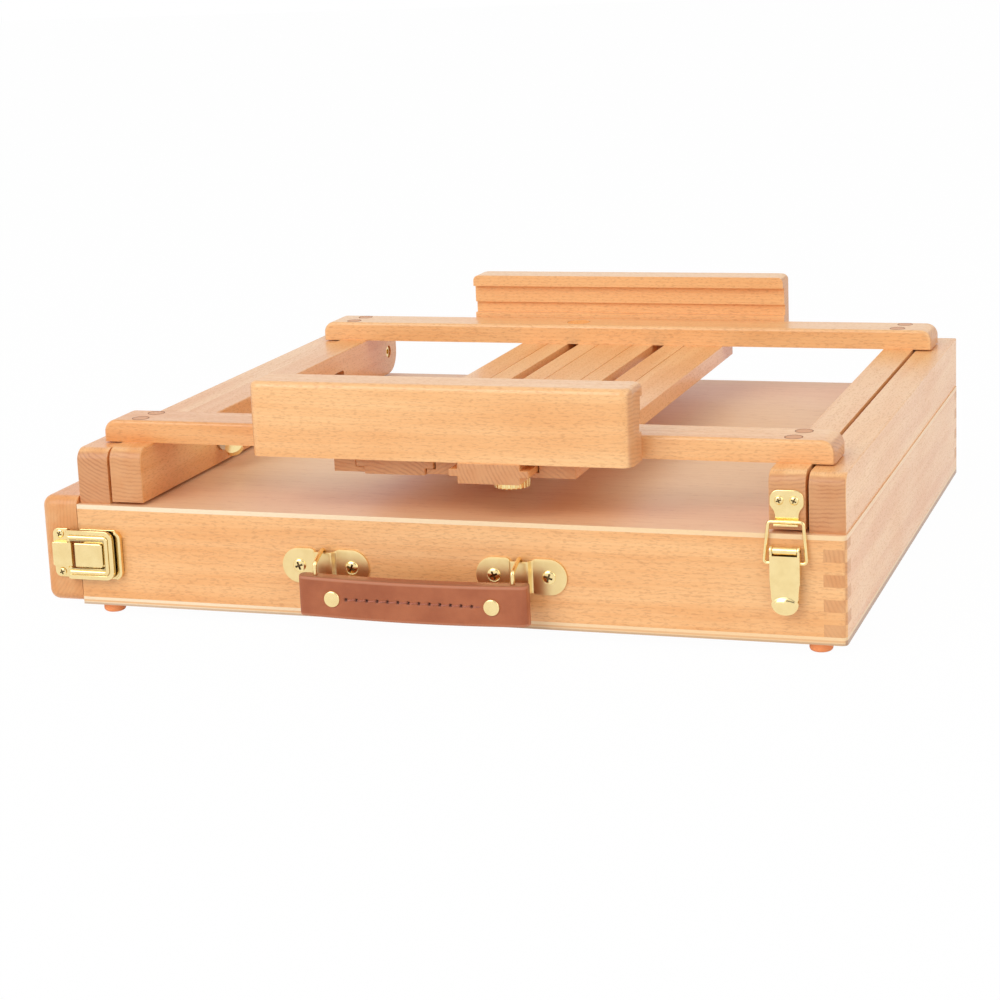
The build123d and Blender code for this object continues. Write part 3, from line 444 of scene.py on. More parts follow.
def pressed(mesh, thickness, softened):
    """A surface made into pressed sheet, whose thickness lies behind it."""
    thicken = ("SOLIDIFY", {"thickness": thickness, "offset": -1.0, "use_even_offset": True})
    soften = ("BEVEL", {"width": softened, "segments": 2, "angle_limit": radians(50)})
    return baked(mesh, [thicken, soften])


def on_front(x, y, z):
    """Sets work in mm on a front face at a place in metres: right is X, up is Z and out is -Y."""
    turn = Matrix(((1, 0, 0, 0), (0, 0, -1, 0), (0, 1, 0, 0), (0, 0, 0, 1)))
    return Matrix.Translation((x, y, z)) @ turn @ Matrix.Scale(MM, 4)


def piece(name, parts, body, nodes, finish, sharp=38):
    """One piece from several meshes and where each stands, riding on a body in place of CAD nodes."""
    points, faces, marks = [], [], {}
    for mesh, placing in parts:
        first = len(points)
        points += [placing @ vertex.co for vertex in mesh.vertices]
        faces += [tuple(first + index for index in face.vertices) for face in mesh.polygons]
        for attribute in mesh.attributes:
            if attribute.name in ("wear_and_highlight", "painted_shade"):
                for index, item in enumerate(attribute.data):
                    marks.setdefault(attribute.name, {})[first + index] = item.value
    joined = bpy.data.meshes.new(name)
    joined.from_pydata(points, [], faces)
    for label, values in marks.items():
        attribute = joined.attributes.new(label, "FLOAT", "POINT")
        for index, value in values.items():
            attribute.data[index].value = value
    joined.validate()
    for face in joined.polygons:
        face.use_smooth = True
    joined.set_sharp_from_angle(angle=radians(sharp))
    joined.materials.append(finish)
    made = bpy.data.objects.new(name, joined)
    bpy.context.scene.collection.objects.link(made)
    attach(made, body)
    for node in nodes:
        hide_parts(node)
    return made


# Woodwork: each plank's grain axis, the way to its pith in degrees, how far that is in mm, its tone, how
# much its end grain shows, and how its tone changes along it


def plank(node, along, pith_turn, pith_reach, tone, end_depth, lean=0.0):
    low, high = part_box(node)
    pith = (low + high) / 2
    first, second = [index for index, part in enumerate(AXES[along]) if not part]
    pith[first] += pith_reach * MM * cos(radians(pith_turn))
    pith[second] += pith_reach * MM * sin(radians(pith_turn))
    return oiled_beech(node + "_beech", along, tuple(pith), tone, end_depth, lean)


def ease_edges(node, width):
    """Takes the sharpness off a wooden piece's edges."""
    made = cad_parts[node]
    weld = made.modifiers.new("weld", "WELD")
    weld.merge_threshold = 0.01 * MM
    bevel = made.modifiers.new("eased", "BEVEL")
    bevel.width = width * MM
    bevel.segments = 2
    bevel.limit_method = "ANGLE"
    bevel.angle_limit = radians(40)
    bevel.harden_normals = False
    made.modifiers.new("even", "WEIGHTED_NORMAL")


def finish_node(node, material):
    """Gives a CAD piece its finish."""
    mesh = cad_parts[node].data
    mesh.materials.clear()
    mesh.materials.append(material)


plank_ease, panel_ease = 0.35, 0.2
planks = {
    "front_wall": ("x", 250, 70, 0.02, 0.55),
    "rear_wall": ("x", 80, 90, 0.05, 0.5),
    "end_wall": ("y", 20, 80, 0.05, 0.5),
    "drawer_front": ("y", 160, 60, 0.3, 0.35),
    "drawer_front_side": ("x", 75, 60, 0.1, 0.5),
    "drawer_rear_side": ("x", 100, 70, 0.0, 0.5),
    "drawer_back": ("y", 30, 60, 0.05, 0.5),
    "drawer_divider": ("x", 110, 60, 0.15, 0.5),
    "drawer_cross_divider": ("y", 60, 60, 0.0, 0.5),
    "left_rail": ("y", 62, 48, 0.1, 0.8),
    "right_rail": ("y", 92, 75, -0.03, 0.75),
    # The left bar's darker tone is painted shade for its shaded inner face
    "left_bar": ("y", 84, 66, 0.28, 0.6),
    "right_bar": ("y", 96, 90, -0.03, 0.7),
    "front_cross_bar": ("x", 250, 45, 0.12, 0.7, -0.9),
    "rear_cross_bar": ("x", 285, 60, -0.3, 0.6),
    "left_slide_rail": ("y", 255, 50, 0.1, 0.7),
    "centre_slide_rail": ("y", 300, 60, 0.0, 0.7),
    "right_slide_rail": ("y", 240, 70, 0.1, 0.7),
    "front_slide": ("y", 22, 62, 0.1, 0.75),
    "rear_slide": ("y", 250, 50, 0.05, 0.75),
    "front_holder": ("x", 265, 85, -0.04, 0.6),
    "rear_holder": ("x", 95, 55, -0.4, 0.6),
}
for node, choices in planks.items():
    finish_node(node, plank(node, *choices))
    ease_edges(node, plank_ease)

# Each panel's plies, where its figure starts, the colour of its darker edges, and how much of that colour
# shows at its ends and along its underside as painted shade, which is strongest on the bottom panel
panels = {
    "deck_panel": (1, (0.3, 0.1, 0.0), PLY_BEECH, 0.9, 0.1),
    "bottom_panel": (3, (0.9, 0.5, 0.0), PLY_PAINTED_SHADE, 0.8, 0.6),
    "drawer_bottom": (3, (1.7, 0.2, 0.0), PLY_BEECH, 0.2, 0.1),
}
for node, choices in panels.items():
    low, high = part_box(node)
    finish_node(node, plywood(node + "_plywood", low.z, high.z, *choices))
    ease_edges(node, panel_ease)

finish_node("cross_bar_plugs", oiled_beech("plug_beech", "z", (0.05, 0.02, 0.0), 0.6, 0.5))
finish_node("feet", soft_rubber())
for node in ("handle_brackets", "clasp_pin", "latch_base", "latch_pin", "latch_bail", "lock_bolts",
             "front_thumb_nut", "rear_thumb_nut", "left_wing_nut", "right_wing_nut", "left_handle_ring",
             "right_handle_ring", "frame_pivot_screws", "front_holder_screws", "rear_holder_screws"):
    finish_node(node, BRASS)
for node in ("strut_pins", "left_strut", "right_strut", "left_strut_bolt", "right_strut_bolt",
             "left_washer", "right_washer"):
    finish_node(node, STEEL)


# Dark glue lines round the cross bars' plugs


plug_low, plug_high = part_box("cross_bar_plugs")
plug_radius, plug_stagger, plug_spacing = 4.5, 2.4, 14.5
glue_outside, glue_inside = 0.25, 0.2


def circle(radius):
    turns = [2 * pi * step / 40 for step in range(40)]
    return [(radius * cos(turn), radius * sin(turn)) for turn in turns]


def plug_middles():
    """The plugs stand in staggered pairs at both ends of both cross bars."""
    near, far = plug_radius * MM, (plug_radius + plug_stagger) * MM
    back = (plug_radius + plug_spacing) * MM
    left_xs = (plug_low.x + near, plug_low.x + far)
    right_xs = (plug_high.x - far, plug_high.x - near)
    for ys in ((plug_low.y + near, plug_low.y + back), (plug_high.y - back, plug_high.y - near)):
        for xs in (left_xs, right_xs):
            for x, y in zip(xs, ys):
                yield Vector((x, y, plug_high.z))


rim = stamped([circle(plug_radius + glue_outside), circle(plug_radius - glue_inside)], -0.1, 0.05, 0.0)
rims = [(rim, Matrix.Translation(middle) @ Matrix.Scale(MM, 4)) for middle in plug_middles()]
piece("plug_rims", rims, "easel_frame", [], glue_line())


# Screws


def pan_screw(radius):
    """A pan head with a cross recess, whose floor is marked for painted shade."""
    rise = 1.15
    dome = arc((0.0, 0.0), (radius, rise), 0, 84, 10)
    head = turned([(radius * 0.96, -0.3), (radius, -0.1), *dome, (radius * 0.02, rise)])
    reach, half, depth = radius * 0.6, radius * 0.15, rise * 0.2
    arm = [(half, half), (half, reach), (-half, reach)]
    cross = []
    for _ in range(4):
        cross += arm
        arm = [(-y, x) for x, y in arm]
    head = carved(head, stamped([cross], depth, rise + 0.5, 0.0))
    painted_shade = head.attributes.new("painted_shade", "FLOAT", "POINT")
    for vertex, mark in zip(head.vertices, painted_shade.data):
        mark.value = float(abs(vertex.co.z - depth) < 0.01 and vertex.co.xy.length < reach * 1.1)
    return head


def screws(name, points, radius, body, node):
    """Screws at points on a front face; each is turned a little differently."""
    head = pan_screw(radius)
    first_turn, more_turn = 20, 47
    parts = []
    for index, (x, y, z) in enumerate(points):
        turn = Matrix.Rotation(radians(first_turn + more_turn * index), 4, "Z")
        parts.append((head, on_front(x, y, z) @ turn))
    return piece(name, parts, body, [node], BRASS)


def front_face(node):
    """The middle of a node's box on its front side."""
    low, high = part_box(node)
    return Vector(((low.x + high.x) / 2, low.y, (low.z + high.z) / 2))


wall_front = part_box("front_wall")[0].y
bar_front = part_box("right_bar")[0].y
sheet = 1.1  # the brass fittings' sheet, in mm
plate_face = wall_front - sheet * MM


# Handle: leather between two brackets


bracket_low, bracket_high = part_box("handle_brackets")
handle_z = (bracket_low.z + bracket_high.z) / 2
bracket_length, bracket_height, bracket_spacing, bracket_screw_spacing = 49.0, 19.0, 108.6, 29.7
bracket_xs = (-bracket_spacing / 2 * MM, bracket_spacing / 2 * MM)
bridge_half, bridge_rise, bridge_shoulder = 5.6, 4.3, 1.5
waist_depth, waist_length = 1.0, 2.2


def bracket_half_height(x):
    """Round ends, and a waist where the bridge is."""
    end_radius = bracket_height / 2
    past = max(0.0, abs(x) - (bracket_length / 2 - end_radius))
    full = sqrt(max(0.0, end_radius ** 2 - past ** 2))
    waist = waist_depth * (1 - smooth_step((abs(x) - bridge_half - 0.2) / waist_length))
    return max(0.05, full - waist)


def bracket():
    """A pressed plate whose middle is raised to a bridge over the ring."""
    rows = []
    half = bracket_length / 2
    steps, columns = 96, 12
    for step in range(steps + 1):
        x = -half * cos(pi * step / steps)
        rise = sheet
        rise += (bridge_rise - rise) * smooth_step((bridge_half + 0.5 - abs(x)) / bridge_shoulder)
        height = bracket_half_height(x)
        levels = [height * (1 - 2 * column / columns) for column in range(columns + 1)]
        rows.append([(x, level, rise) for level in levels])
    return pressed(skin(rows), sheet, 0.25)


brackets = [(bracket(), on_front(x, wall_front, handle_z)) for x in bracket_xs]
piece("pressed_brackets", brackets, "base", ["handle_brackets"], SATIN_BRASS, sharp=50)

# The strap's sizes in mm, with its rivets, its stitch holes and the groove they lie in
leather_low, leather_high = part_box("handle_leather")
leather_half = (leather_high.x - leather_low.x) / 2 / MM
leather_thickness = (leather_high.y - leather_low.y) / MM
leather_back = leather_high.y
handle_bow = 1.4
end_height = (leather_high.z - leather_low.z) / MM - handle_bow
rivet_spacing, rivet_radius, rivet_drop = 87.7, 4.4, 12.0
rivet_z = handle_z / MM - rivet_drop
stitch_first, stitch_step, stitch_count = -36.0, 5.76, 13
stitch_xs = [stitch_first + stitch_step * index for index in range(stitch_count)]
end_rounding, front_rounding, back_rounding = 3.0, 1.3, 1.0
hole_sink, hole_spread = 1.3, 0.6
groove_left, groove_right, groove_sink, groove_width = -38.5, 39.5, 0.14, 0.8
dent_sink, dent_width = 0.3, 0.9
thread_radius = 0.4


def strap_section(x):
    """The leather's section at x, going round, as points (reach to the front, height, whether it lies on a
    front edge that gets wear and painted highlight).
    """
    bow = handle_bow * (1 - (x / leather_half) ** 2)
    top = leather_high.z / MM - bow
    low = top - end_height
    past = max(0.0, abs(x) - (leather_half - end_rounding))
    pinch = end_rounding - sqrt(max(0.0, end_rounding ** 2 - past ** 2))
    back, face = pinch, leather_thickness - pinch
    front_edge = min(front_rounding, (face - back) * 0.26)
    back_edge = min(back_rounding, (face - back) * 0.2)
    front_rows, back_rows = 46, 12

    def corner(reach, height, radius, start, wear_and_highlight):
        turn = arc((reach, height), (radius, radius), start, start + 90, 6)
        return [(*place, wear_and_highlight) for place in turn]

    points = corner(back + back_edge, low + back_edge, back_edge, 180, False)
    points += corner(face - front_edge, low + front_edge, front_edge, 270, True)
    for row in range(1, front_rows):
        share = row / front_rows
        points.append((face, low + front_edge + (end_height - 2 * front_edge) * share, False))
    points += corner(face - front_edge, top - front_edge, front_edge, 0, True)
    points += corner(back + back_edge, top - back_edge, back_edge, 90, False)
    for row in range(1, back_rows):
        share = row / back_rows
        points.append((back, top - back_edge - (end_height - 2 * back_edge) * share, False))
    return points, face


def face_sink(x, z):
    """How deep the leather's face lies at a point, and how far that is a stitch hole."""
    hole = max(exp(-((x - at) ** 2 + (z - rivet_z) ** 2) / hole_spread) for at in stitch_xs)
    inside = smooth_step((x - groove_left) / 1.5) * smooth_step((groove_right - x) / 1.5)
    sink = hole_sink * hole + groove_sink * inside * exp(-((z - rivet_z) / groove_width) ** 2)
    for hand in (-1, 1):
        away = sqrt((x - hand * rivet_spacing / 2) ** 2 + (z - rivet_z) ** 2)
        sink += dent_sink * exp(-((away - rivet_radius) / dent_width) ** 2)
    return sink, hole


def strap():
    """The leather with its stitch holes sunk in, its front edges marked for wear and painted highlight, and
    its holes and top marked for painted shade.
    """
    rows, wear_and_highlight, painted_shade = [], [], []
    inner = leather_half - end_rounding
    steps, end_steps = 250, 7
    xs = [-leather_half + end_rounding * (1 - cos(pi / 2 * step / end_steps)) for step in range(end_steps)]
    xs += [-inner + 2 * inner * step / steps for step in range(steps + 1)]
    xs += [-x for x in reversed(xs[:end_steps])]
    for x in xs:
        row = []
        section, face = strap_section(x)
        for reach, z, edge in section:
            sink, hole = face_sink(x, z) if reach > face - 0.01 else (0.0, 0.0)
            row.append((x, z, reach - sink))
            wear_and_highlight.append(float(edge))
            # Painted shade on the strap's top face and in its stitch holes
            on_top = z > rivet_z + 8.0 and 1.0 < reach < face - 0.8
            painted_shade.append(0.4 if on_top else smooth_step(hole * 1.7))
        rows.append(row)
    mesh = skin(rows, closed_rows=True, capped=True)
    for name, values in (("wear_and_highlight", wear_and_highlight), ("painted_shade", painted_shade)):
        attribute = mesh.attributes.new(name, "FLOAT", "POINT")
        attribute.data.foreach_set("value", values)
    return mesh


def ring_pocket(x):
    """The hole that a ring's front leg stands in, open at the back for the ring's lower bar."""
    middle = leather_thickness / 2
    bore_radius, mouth_half, drop_to_top, drop_to_low = 1.4, 3.8, 6.6, 11.8
    low, top = handle_z / MM - drop_to_low, handle_z / MM - drop_to_top
    inner = middle + bore_radius
    shape = [(x - mouth_half, -1.0), (x + mouth_half, -1.0),
             (x + bore_radius, inner), (x - bore_radius, inner)]
    pocket = stamped([shape], low, top, 0.0)
    pocket.transform(Matrix(((1, 0, 0, 0), (0, 0, 1, 0), (0, 1, 0, 0), (0, 0, 0, 1))))
    bore = turned([(bore_radius, low + 1.0), (bore_radius, leather_high.z / MM + 2.0)], 24)
    bore.transform(Matrix(((1, 0, 0, x), (0, 0, 1, 0), (0, -1, 0, middle), (0, 0, 0, 1))))
    return [pocket, bore]


handle_place = on_front(0.0, leather_back, 0.0)
leather = strap()
for x in bracket_xs:
    for cutter in ring_pocket(x / MM):
        leather = carved(leather, cutter)
strap_parts = [(leather, handle_place)]
piece("leather_strap", strap_parts, "handle", ["handle_leather"], LEATHER, sharp=60)

# A stitch leaves its hole in three points: along from the hole, aside from the seam and under the face
stitch_rise = ((0.7, 0.3, 1.0), (1.1, 0.25, 0.4), (1.8, 0.15, 0.05))
threads = []
for start in stitch_xs:
    end = start + stitch_step
    over = leather_thickness - 0.12
    path = [(start + along, rivet_z - aside, over - under) for along, aside, under in stitch_rise]
    path += [(end - along, rivet_z + aside, over - under) for along, aside, under in reversed(stitch_rise)]
    threads.append((wire(path, thread_radius), handle_place))
piece("handle_thread", threads, "handle", [], THREAD)

rivet_front = [(1.2, leather_thickness - 1.0), (rivet_radius * 0.98, leather_thickness - 0.6),
               (rivet_radius, leather_thickness - 0.15),
               *arc((rivet_radius - 0.8, leather_thickness - 0.15), (0.8, 0.75), 0, 70, 6),
               (rivet_radius - 1.6, leather_thickness + 0.8), (rivet_radius * 0.3, leather_thickness + 0.93),
               (0.05, leather_thickness + 0.95)]
rivet_back = [(rivet_radius * 0.7, -0.95), (rivet_radius - 0.5, -0.85), (rivet_radius, -0.4),
              (rivet_radius, 0.2), (1.2, 0.3)]
rivet_parts = []
for hand in (-1, 1):
    placing = on_front(hand * rivet_spacing / 2 * MM, leather_back, rivet_z * MM)
    rivet_parts += [(turned(rivet_front), placing), (turned(rivet_back), placing)]
piece("domed_rivets", rivet_parts, "handle", ["handle_rivets"], BRASS, sharp=45)

bracket_screw_xs = [x + hand * bracket_screw_spacing / 2 * MM for x in bracket_xs for hand in (-1, 1)]
latch_x = front_face("latch_strike").x
latch_pin_low, latch_pin_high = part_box("latch_pin")
latch_pin_z = (latch_pin_low.z + latch_pin_high.z) / 2
latch_pin_y = (latch_pin_low.y + latch_pin_high.y) / 2
latch_screw_drop, latch_screw_spacing = 22.5, 12.0
latch_screw_z = latch_pin_z - latch_screw_drop * MM
wall_screw_points = [(x, plate_face, handle_z) for x in bracket_screw_xs]
for step in (0, 1):
    wall_screw_points.append((latch_x, plate_face, latch_screw_z + step * latch_screw_spacing * MM))
screws("wall_pan_screws", wall_screw_points, 3.7, "base", "fitting_screws")


# Clasp, with distances from the drawer's joint and from the clasp's middle


joint_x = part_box("front_wall")[0].x
clasp_low, clasp_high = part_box("clasp_keeper")
clasp_z = (clasp_low.z + clasp_high.z) / 2
clasp_place = on_front(joint_x, wall_front, clasp_z)
half_tall, tab_half = 27.5 / 2, 13.4 / 2
pin_u, pin_w, knuckle = -4.6, 3.0, 1.6
fork_face = pin_w + knuckle
base_left, base_right, tab_left = -15.5, -6.3, -14.6
fork_right, window_right, fork_rounding, fork_thickness = 22.3, 16.9, 5.2, 1.75
window_half = tab_half + 0.9
keeper_left, keeper_right, keeper_rounding, lip_inside = 1.2, 26.4, 4.8, 3.2
button_left, button_right = -0.8, 16.0


def upright(low, high, radius):
    """A round bar on the clasp's hinge line between two heights."""
    soft = 0.25
    profile = [(radius - soft, low), (radius, low + soft), (radius, high - soft), (radius - soft, high)]
    bar = turned(profile, 28)
    bar.transform(Matrix(((1, 0, 0, pin_u), (0, 0, 1, 0), (0, -1, 0, pin_w), (0, 0, 0, 1))))
    return bar


base_outline = rounded(block_outline((base_left, -half_tall), (base_right, half_tall)), [3.5, 0.4, 0.4, 3.5])
tab_outline = rounded(block_outline((tab_left, -tab_half), (pin_u, tab_half)), [0.7, 0, 0, 0.7])
clasp_base = [(stamped([base_outline], 0.0, sheet, 0.3), clasp_place),
              (stamped([tab_outline], 0.4, fork_face, 0.35), clasp_place),
              (upright(-tab_half, tab_half, knuckle), clasp_place)]
piece("clasp_base", clasp_base, "drawer", ["clasp_plate"], BRASS)

arms = [(pin_u, -half_tall), (fork_right, -half_tall), (fork_right, half_tall), (pin_u, half_tall),
        (pin_u, window_half), (window_right, window_half), (window_right, -window_half),
        (pin_u, -window_half)]
fork_outline = rounded(arms, [0, fork_rounding, fork_rounding, 0, 0, 2.2, 2.2, 0])


def fork_bar(inset, half_width, base, rise, softened=0.0):
    """A bar that follows the fork's outer edge at an inset: rounded over, or flat with softened edges."""
    u, v = fork_right - inset, half_tall - inset
    turn = max(1.3, fork_rounding - inset)
    if not softened:
        start = pin_u + 0.6
        path = rounded([(start, -v, 0), (u, -v, 0), (u, v, 0), (start, v, 0)], turn, closed=False)
        bar = wire(path, half_width)
        bar.transform(Matrix.Diagonal((1, 1, rise / half_width, 1)))
        bar.transform(Matrix.Translation((0, 0, base)))
        return bar
    sides = []
    for reach in (half_width, -half_width):
        outer_u, outer_v = u + reach, v + reach
        corners = [(pin_u, -outer_v), (outer_u, -outer_v), (outer_u, outer_v), (pin_u, outer_v)]
        sides.append(rounded(corners, [0, turn + reach, turn + reach, 0]))
    return stamped([sides[0] + sides[1][::-1]], base, base + rise, softened)


fork_base = fork_face - 0.25
fork_plate = stamped([fork_outline], fork_base - fork_thickness, fork_base, 0.3)
outer_bar = fork_bar(inset=1.25, half_width=1.2, base=fork_base - 0.5, rise=1.05, softened=0.28)
inner_bar = fork_bar(inset=4.05, half_width=1.25, base=fork_base - 0.1, rise=1.15)
# The fork's plate is darkened all over with painted shade
fork_parts = [(part, clasp_place) for part in (with_painted_shade(fork_plate, 0.45), outer_bar, inner_bar)]
for hand in (-1, 1):
    low, high = sorted((hand * (tab_half + 0.5), hand * half_tall))
    fork_parts.append((upright(low, high, knuckle), clasp_place))
piece("clasp_swing_fork", fork_parts, "fork", ["clasp_fork"], BRASS)


def lip_side(radius, reach):
    """One side of the keeper's raised lip, round both of its corners."""
    across, up = keeper_right - keeper_rounding, half_tall - keeper_rounding
    return arc((across, -up), (radius, radius), -reach, 0) + arc((across, up), (radius, radius), 0, reach)


keeper_outline = rounded(block_outline((keeper_left, -half_tall), (keeper_right, half_tall)),
                         [0.4, keeper_rounding, keeper_rounding, 0.4])
lip_outline = lip_side(keeper_rounding, 76) + lip_side(lip_inside, 70)[::-1]
button_outline = rounded(block_outline((button_left, -tab_half), (button_right, tab_half)),
                         [0.5, 1.7, 1.7, 0.5])
button_post = rounded(block_outline((2.0, -tab_half + 0.5), (button_right - 0.6, tab_half - 0.5)), 1.2)
keeper_parts = [(stamped([keeper_outline], 0.0, sheet, 0.3), clasp_place),
                (stamped([lip_outline], 0.2, 3.4, 0.3), clasp_place),
                (stamped([button_post], 0.6, 4.6, 0.2), clasp_place),
                (stamped([button_outline], 3.9, fork_face + 0.6, 0.6), clasp_place)]
piece("clasp_button", keeper_parts, "base", ["clasp_keeper"], BRASS)


def clasp_screw_points(across, up):
    """A screw above and a screw below the clasp's middle."""
    return [(joint_x + across * MM, plate_face, clasp_z + hand * up * MM) for hand in (-1, 1)]


screws("clasp_pan_screws", clasp_screw_points(-11.0, 10.8), 2.5, "drawer", "clasp_screws")
screws("keeper_pan_screws", clasp_screw_points(9.0, 10.0), 2.4, "base", "keeper_screws")


# Toggle latch


strike_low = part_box("latch_strike")[0]
neck_z = strike_low.z + sheet * MM
strike_half, strike_tall, neck_half, shelf_depth = 8.6, 16.6, 6.3, 4.6
strike_side = [(neck_half, -0.6), (5.9, 3.6), (6.6, 6.0), (strike_half, 8.6), (strike_half, strike_tall)]
strike_outline = rounded(both_sides(strike_side), [0, 4.0, 3.0, 3.4, 4.6, 4.6, 3.4, 3.0, 4.0, 0])
shelf_outline = rounded(block_outline((-neck_half, 0.0), (neck_half, shelf_depth)), [0, 0, 0.5, 0.5])
shelf_place = Matrix.Translation((latch_x, bar_front, strike_low.z)) @ Matrix.Diagonal((MM, -MM, MM, 1))
strike_parts = [(stamped([strike_outline], 0.0, sheet, 0.35), on_front(latch_x, bar_front, neck_z)),
                (stamped([shelf_outline], 0.0, sheet, 0.2), shelf_place)]
piece("strike_plate", strike_parts, "easel_frame", ["latch_strike"], BRASS)
strike_screw_half, strike_screw_drop = 3.8, 5.3
strike_screw_z = neck_z + (strike_tall - strike_screw_drop) * MM
strike_points = [(latch_x + hand * strike_screw_half * MM, bar_front - sheet * MM, strike_screw_z)
                 for hand in (-1, 1)]
screws("strike_pan_screws", strike_points, 2.3, "easel_frame", "strike_screws")

# The lever's sizes in mm, measured from the pin, with its sides, its grip's dome and its flanges
lever_place = on_front(latch_x, latch_pin_y, latch_pin_z)
lever_top, lever_tip, lever_height = -2.3, -32.5, 2.3
lever_half, lever_spread, spread_start, spread_length, tip_rounding = 6.85, 0.7, 9.0, 10.0, 6.0
dome_rise, dome_half_width, dome_half_tall = 1.55, 6.4, 4.6
notch_place, notch_depth, notch_width = 7.2, 0.5, 0.7
edge_half, edge_start, edge_turn = 7.5, 0.86, 0.35
ear, flange_half, flange_length, flange_depth = 2.6, 6.3, 17.0, 1.7


def lever_half_width(v):
    """Nearly straight sides, a notch above the grip and a round tip."""
    from_tip = v - lever_tip
    half = lever_half + lever_spread * smooth_step((from_tip - spread_start) / spread_length)
    half -= notch_depth * exp(-((from_tip - notch_place) / notch_width) ** 2)
    if from_tip < tip_rounding:
        back = 1 - from_tip / tip_rounding
        half = min(half, lever_half * sqrt(max(0.0, 1 - back ** 2)) + 0.02)
    return half


def lever():
    """The tapered lever with its domed grip."""
    rows = []
    steps, half_columns = 110, 16
    for step in range(steps + 1):
        v = lever_tip + (lever_top - lever_tip) * (step / steps) ** 1.4
        half = lever_half_width(v)
        row = []
        for column in range(-half_columns, half_columns + 1):
            u = half * sin(pi / 2 * column / half_columns)
            away = (u / dome_half_width) ** 2 + ((v - lever_tip - dome_half_tall) / dome_half_tall) ** 2
            rise = dome_rise * max(0.0, 1 - away) ** 0.7
            turned_back = edge_turn * max(0.0, abs(u) / edge_half - edge_start) / (1 - edge_start)
            row.append((u, v, lever_height + rise - turned_back ** 2))
        rows.append(row)
    return pressed(skin(rows), sheet, 0.2)


def flange(hand):
    """A side flange of the lever with the ear that turns on the pin; its outline is drawn from the side."""
    front = 0.4 - lever_height
    shape = [(front, -flange_length), (front, -0.2), (-ear, 0.0), (-ear, ear), (ear, ear), (ear, -3.0),
             (flange_depth, -6.0), (flange_depth, -12.0)]
    side = stamped([rounded(shape, [0, 0, 0, 2.5, 2.5, 1.5, 1.5, 1.5])], 0.0, 1.3, 0.2)
    side.transform(Matrix(((0, 0, hand, hand * flange_half), (0, 1, 0, 0), (-1, 0, 0, 0), (0, 0, 0, 1))))
    return side


lever_parts = [(lever(), lever_place), (flange(-1), lever_place), (flange(1), lever_place)]
piece("toggle_lever", lever_parts, "lever", ["latch_lever"], BRASS, sharp=50)


# Studio: a white floor and background, soft lamps and the camera


# The rays that meet the white background: straight from the camera, off polished faces and through glass
seeing_rays = ("Is Camera Ray", "Is Glossy Ray", "Is Transmission Ray")
white = (1.0, 1.0, 1.0, 1.0)


def floor_finish(plain_share):
    """White that is mostly its own, so that only a breath of shadow shows."""
    finish = Finish("white_floor", {"Roughness": 0.9, "Specular IOR Level": 0.0})
    cloud = finish.clouds(3.0, 2.0)
    paint = finish.mix(cloud, (0.96, 0.96, 0.96, 1.0), (0.98, 0.98, 0.98, 1.0))
    finish.feed(finish.shader.inputs["Base Color"], paint)
    seen = [finish.node("LightPath", output=name) for name in seeing_rays]
    share = (seen[0] + seen[1] + seen[2]) * plain_share
    glow = finish.node("Emission", {}, {"Color": white, "Strength": 1.0})
    both = finish.node("MixShader", {}, {0: share, 1: Varying(finish, finish.shader.outputs[0]), 2: glow})
    finish.feed(finish.tree.nodes["Material Output"].inputs["Surface"], both)
    return finish.material


def floor():
    reach = 8.0
    mesh = skin([[(-reach, -reach, 0.0), (reach, -reach, 0.0)], [(-reach, reach, 0.0), (reach, reach, 0.0)]])
    mesh.materials.append(floor_finish(0.98))
    made = bpy.data.objects.new("studio_floor", mesh)
    bpy.context.scene.collection.objects.link(made)


def dark_card():
    """A dark card behind the camera, which the polished metal shows as dark lines along its bends."""
    low, high = Vector((-2.2, -3.4, 1.5)), Vector((2.6, -3.4, 2.5))
    mesh = skin([[low, (high.x, high.y, low.z)], [(low.x, low.y, high.z), high]])
    finish = Finish("dark_card", {"Base Color": (0.02, 0.018, 0.015, 1.0), "Roughness": 0.9})
    mesh.materials.append(finish.material)
    made = bpy.data.objects.new("dark_card", mesh)
    bpy.context.scene.collection.objects.link(made)


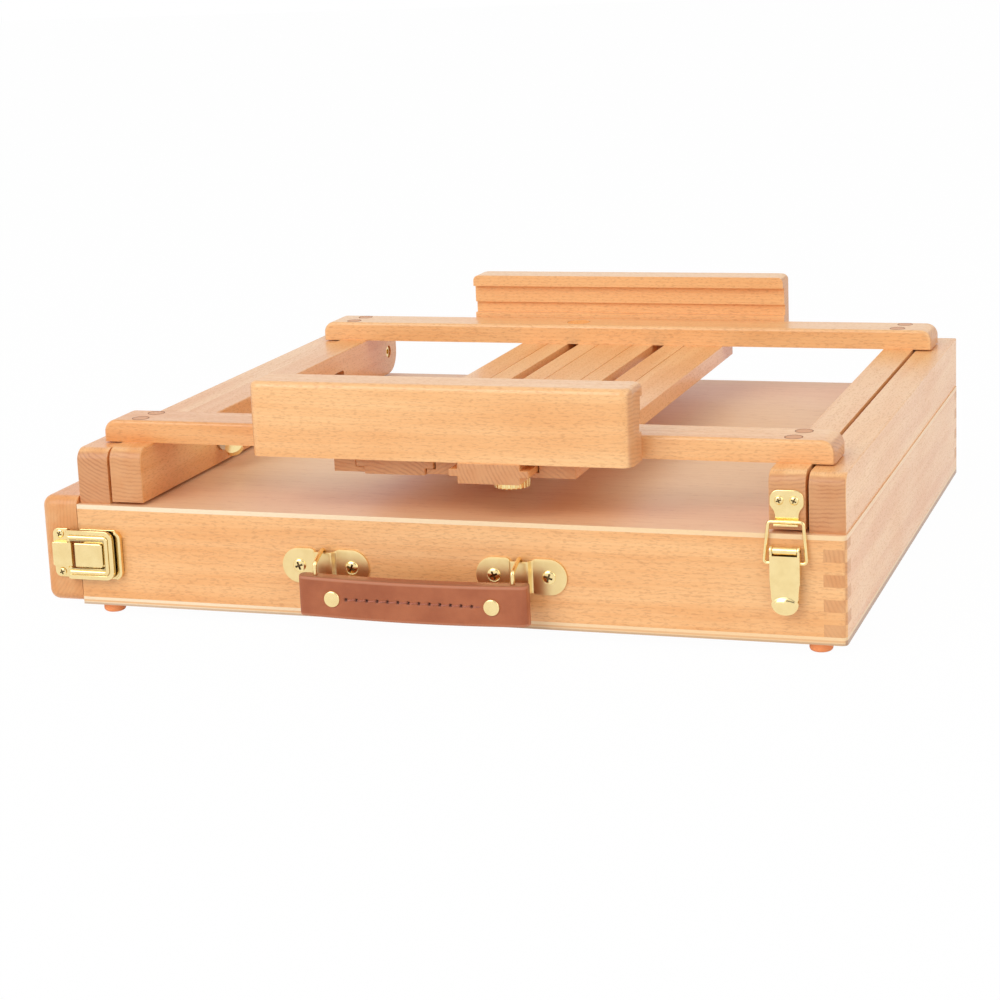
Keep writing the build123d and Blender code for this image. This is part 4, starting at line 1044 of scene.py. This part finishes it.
def sky(level):
    """Plain white light from all round, and a white background behind the object."""
    world = bpy.data.worlds.new("studio_light")
    bpy.context.scene.world = world
    world.use_nodes = True
    tree = world.node_tree
    background = tree.nodes["Background"]
    background.inputs["Color"].default_value = white
    path = tree.nodes.new("ShaderNodeLightPath")
    seen = path.outputs[seeing_rays[0]]
    for name in seeing_rays[1:]:
        adder = tree.nodes.new("ShaderNodeMath")
        adder.operation = "ADD"
        adder.use_clamp = True
        tree.links.new(seen, adder.inputs[0])
        tree.links.new(path.outputs[name], adder.inputs[1])
        seen = adder.outputs[0]
    strength = tree.nodes.new("ShaderNodeMapRange")
    tree.links.new(seen, strength.inputs["Value"])
    strength.inputs["To Min"].default_value = level
    strength.inputs["To Max"].default_value = 1.0
    tree.links.new(strength.outputs[0], background.inputs["Strength"])


def lamp(name, place, aim, size, power):
    """A soft square lamp."""
    data = bpy.data.lights.new(name, "AREA")
    data.shape = "SQUARE"
    data.size = size
    data.energy = power
    made = bpy.data.objects.new(name, data)
    made.location = place
    made.rotation_euler = (Vector(aim) - Vector(place)).to_track_quat("-Z", "Y").to_euler()
    bpy.context.scene.collection.objects.link(made)


def camera():
    """The camera, with its heading, pitch and roll in degrees."""
    place, heading, pitch, roll = (0.436105, -1.326393, 0.366249), 19.16083, 77.29089, -2.46629
    data = bpy.data.cameras.new("camera")
    data.sensor_width = 36.0
    data.lens = 87.398
    data.shift_x = 0.01042
    data.shift_y = -0.03996
    made = bpy.data.objects.new("camera", data)
    turn = Matrix.Rotation(radians(heading), 4, "Z") @ Matrix.Rotation(radians(pitch), 4, "X")
    turn = turn @ Matrix.Rotation(radians(roll), 4, "Z")
    made.matrix_world = Matrix.Translation(place) @ turn
    bpy.context.scene.collection.objects.link(made)
    bpy.context.scene.camera = made


camera()
floor()
dark_card()
sky(0.62)
lamp("front_softbox", place=(-0.9, -1.9, 1.5), aim=(0.0, 0.0, 0.05), size=1.6, power=26.0)
lamp("side_softbox", place=(1.9, -0.6, 1.1), aim=(0.1, 0.0, 0.05), size=1.4, power=9.0)
bpy.context.scene.view_settings.view_transform = "Standard"
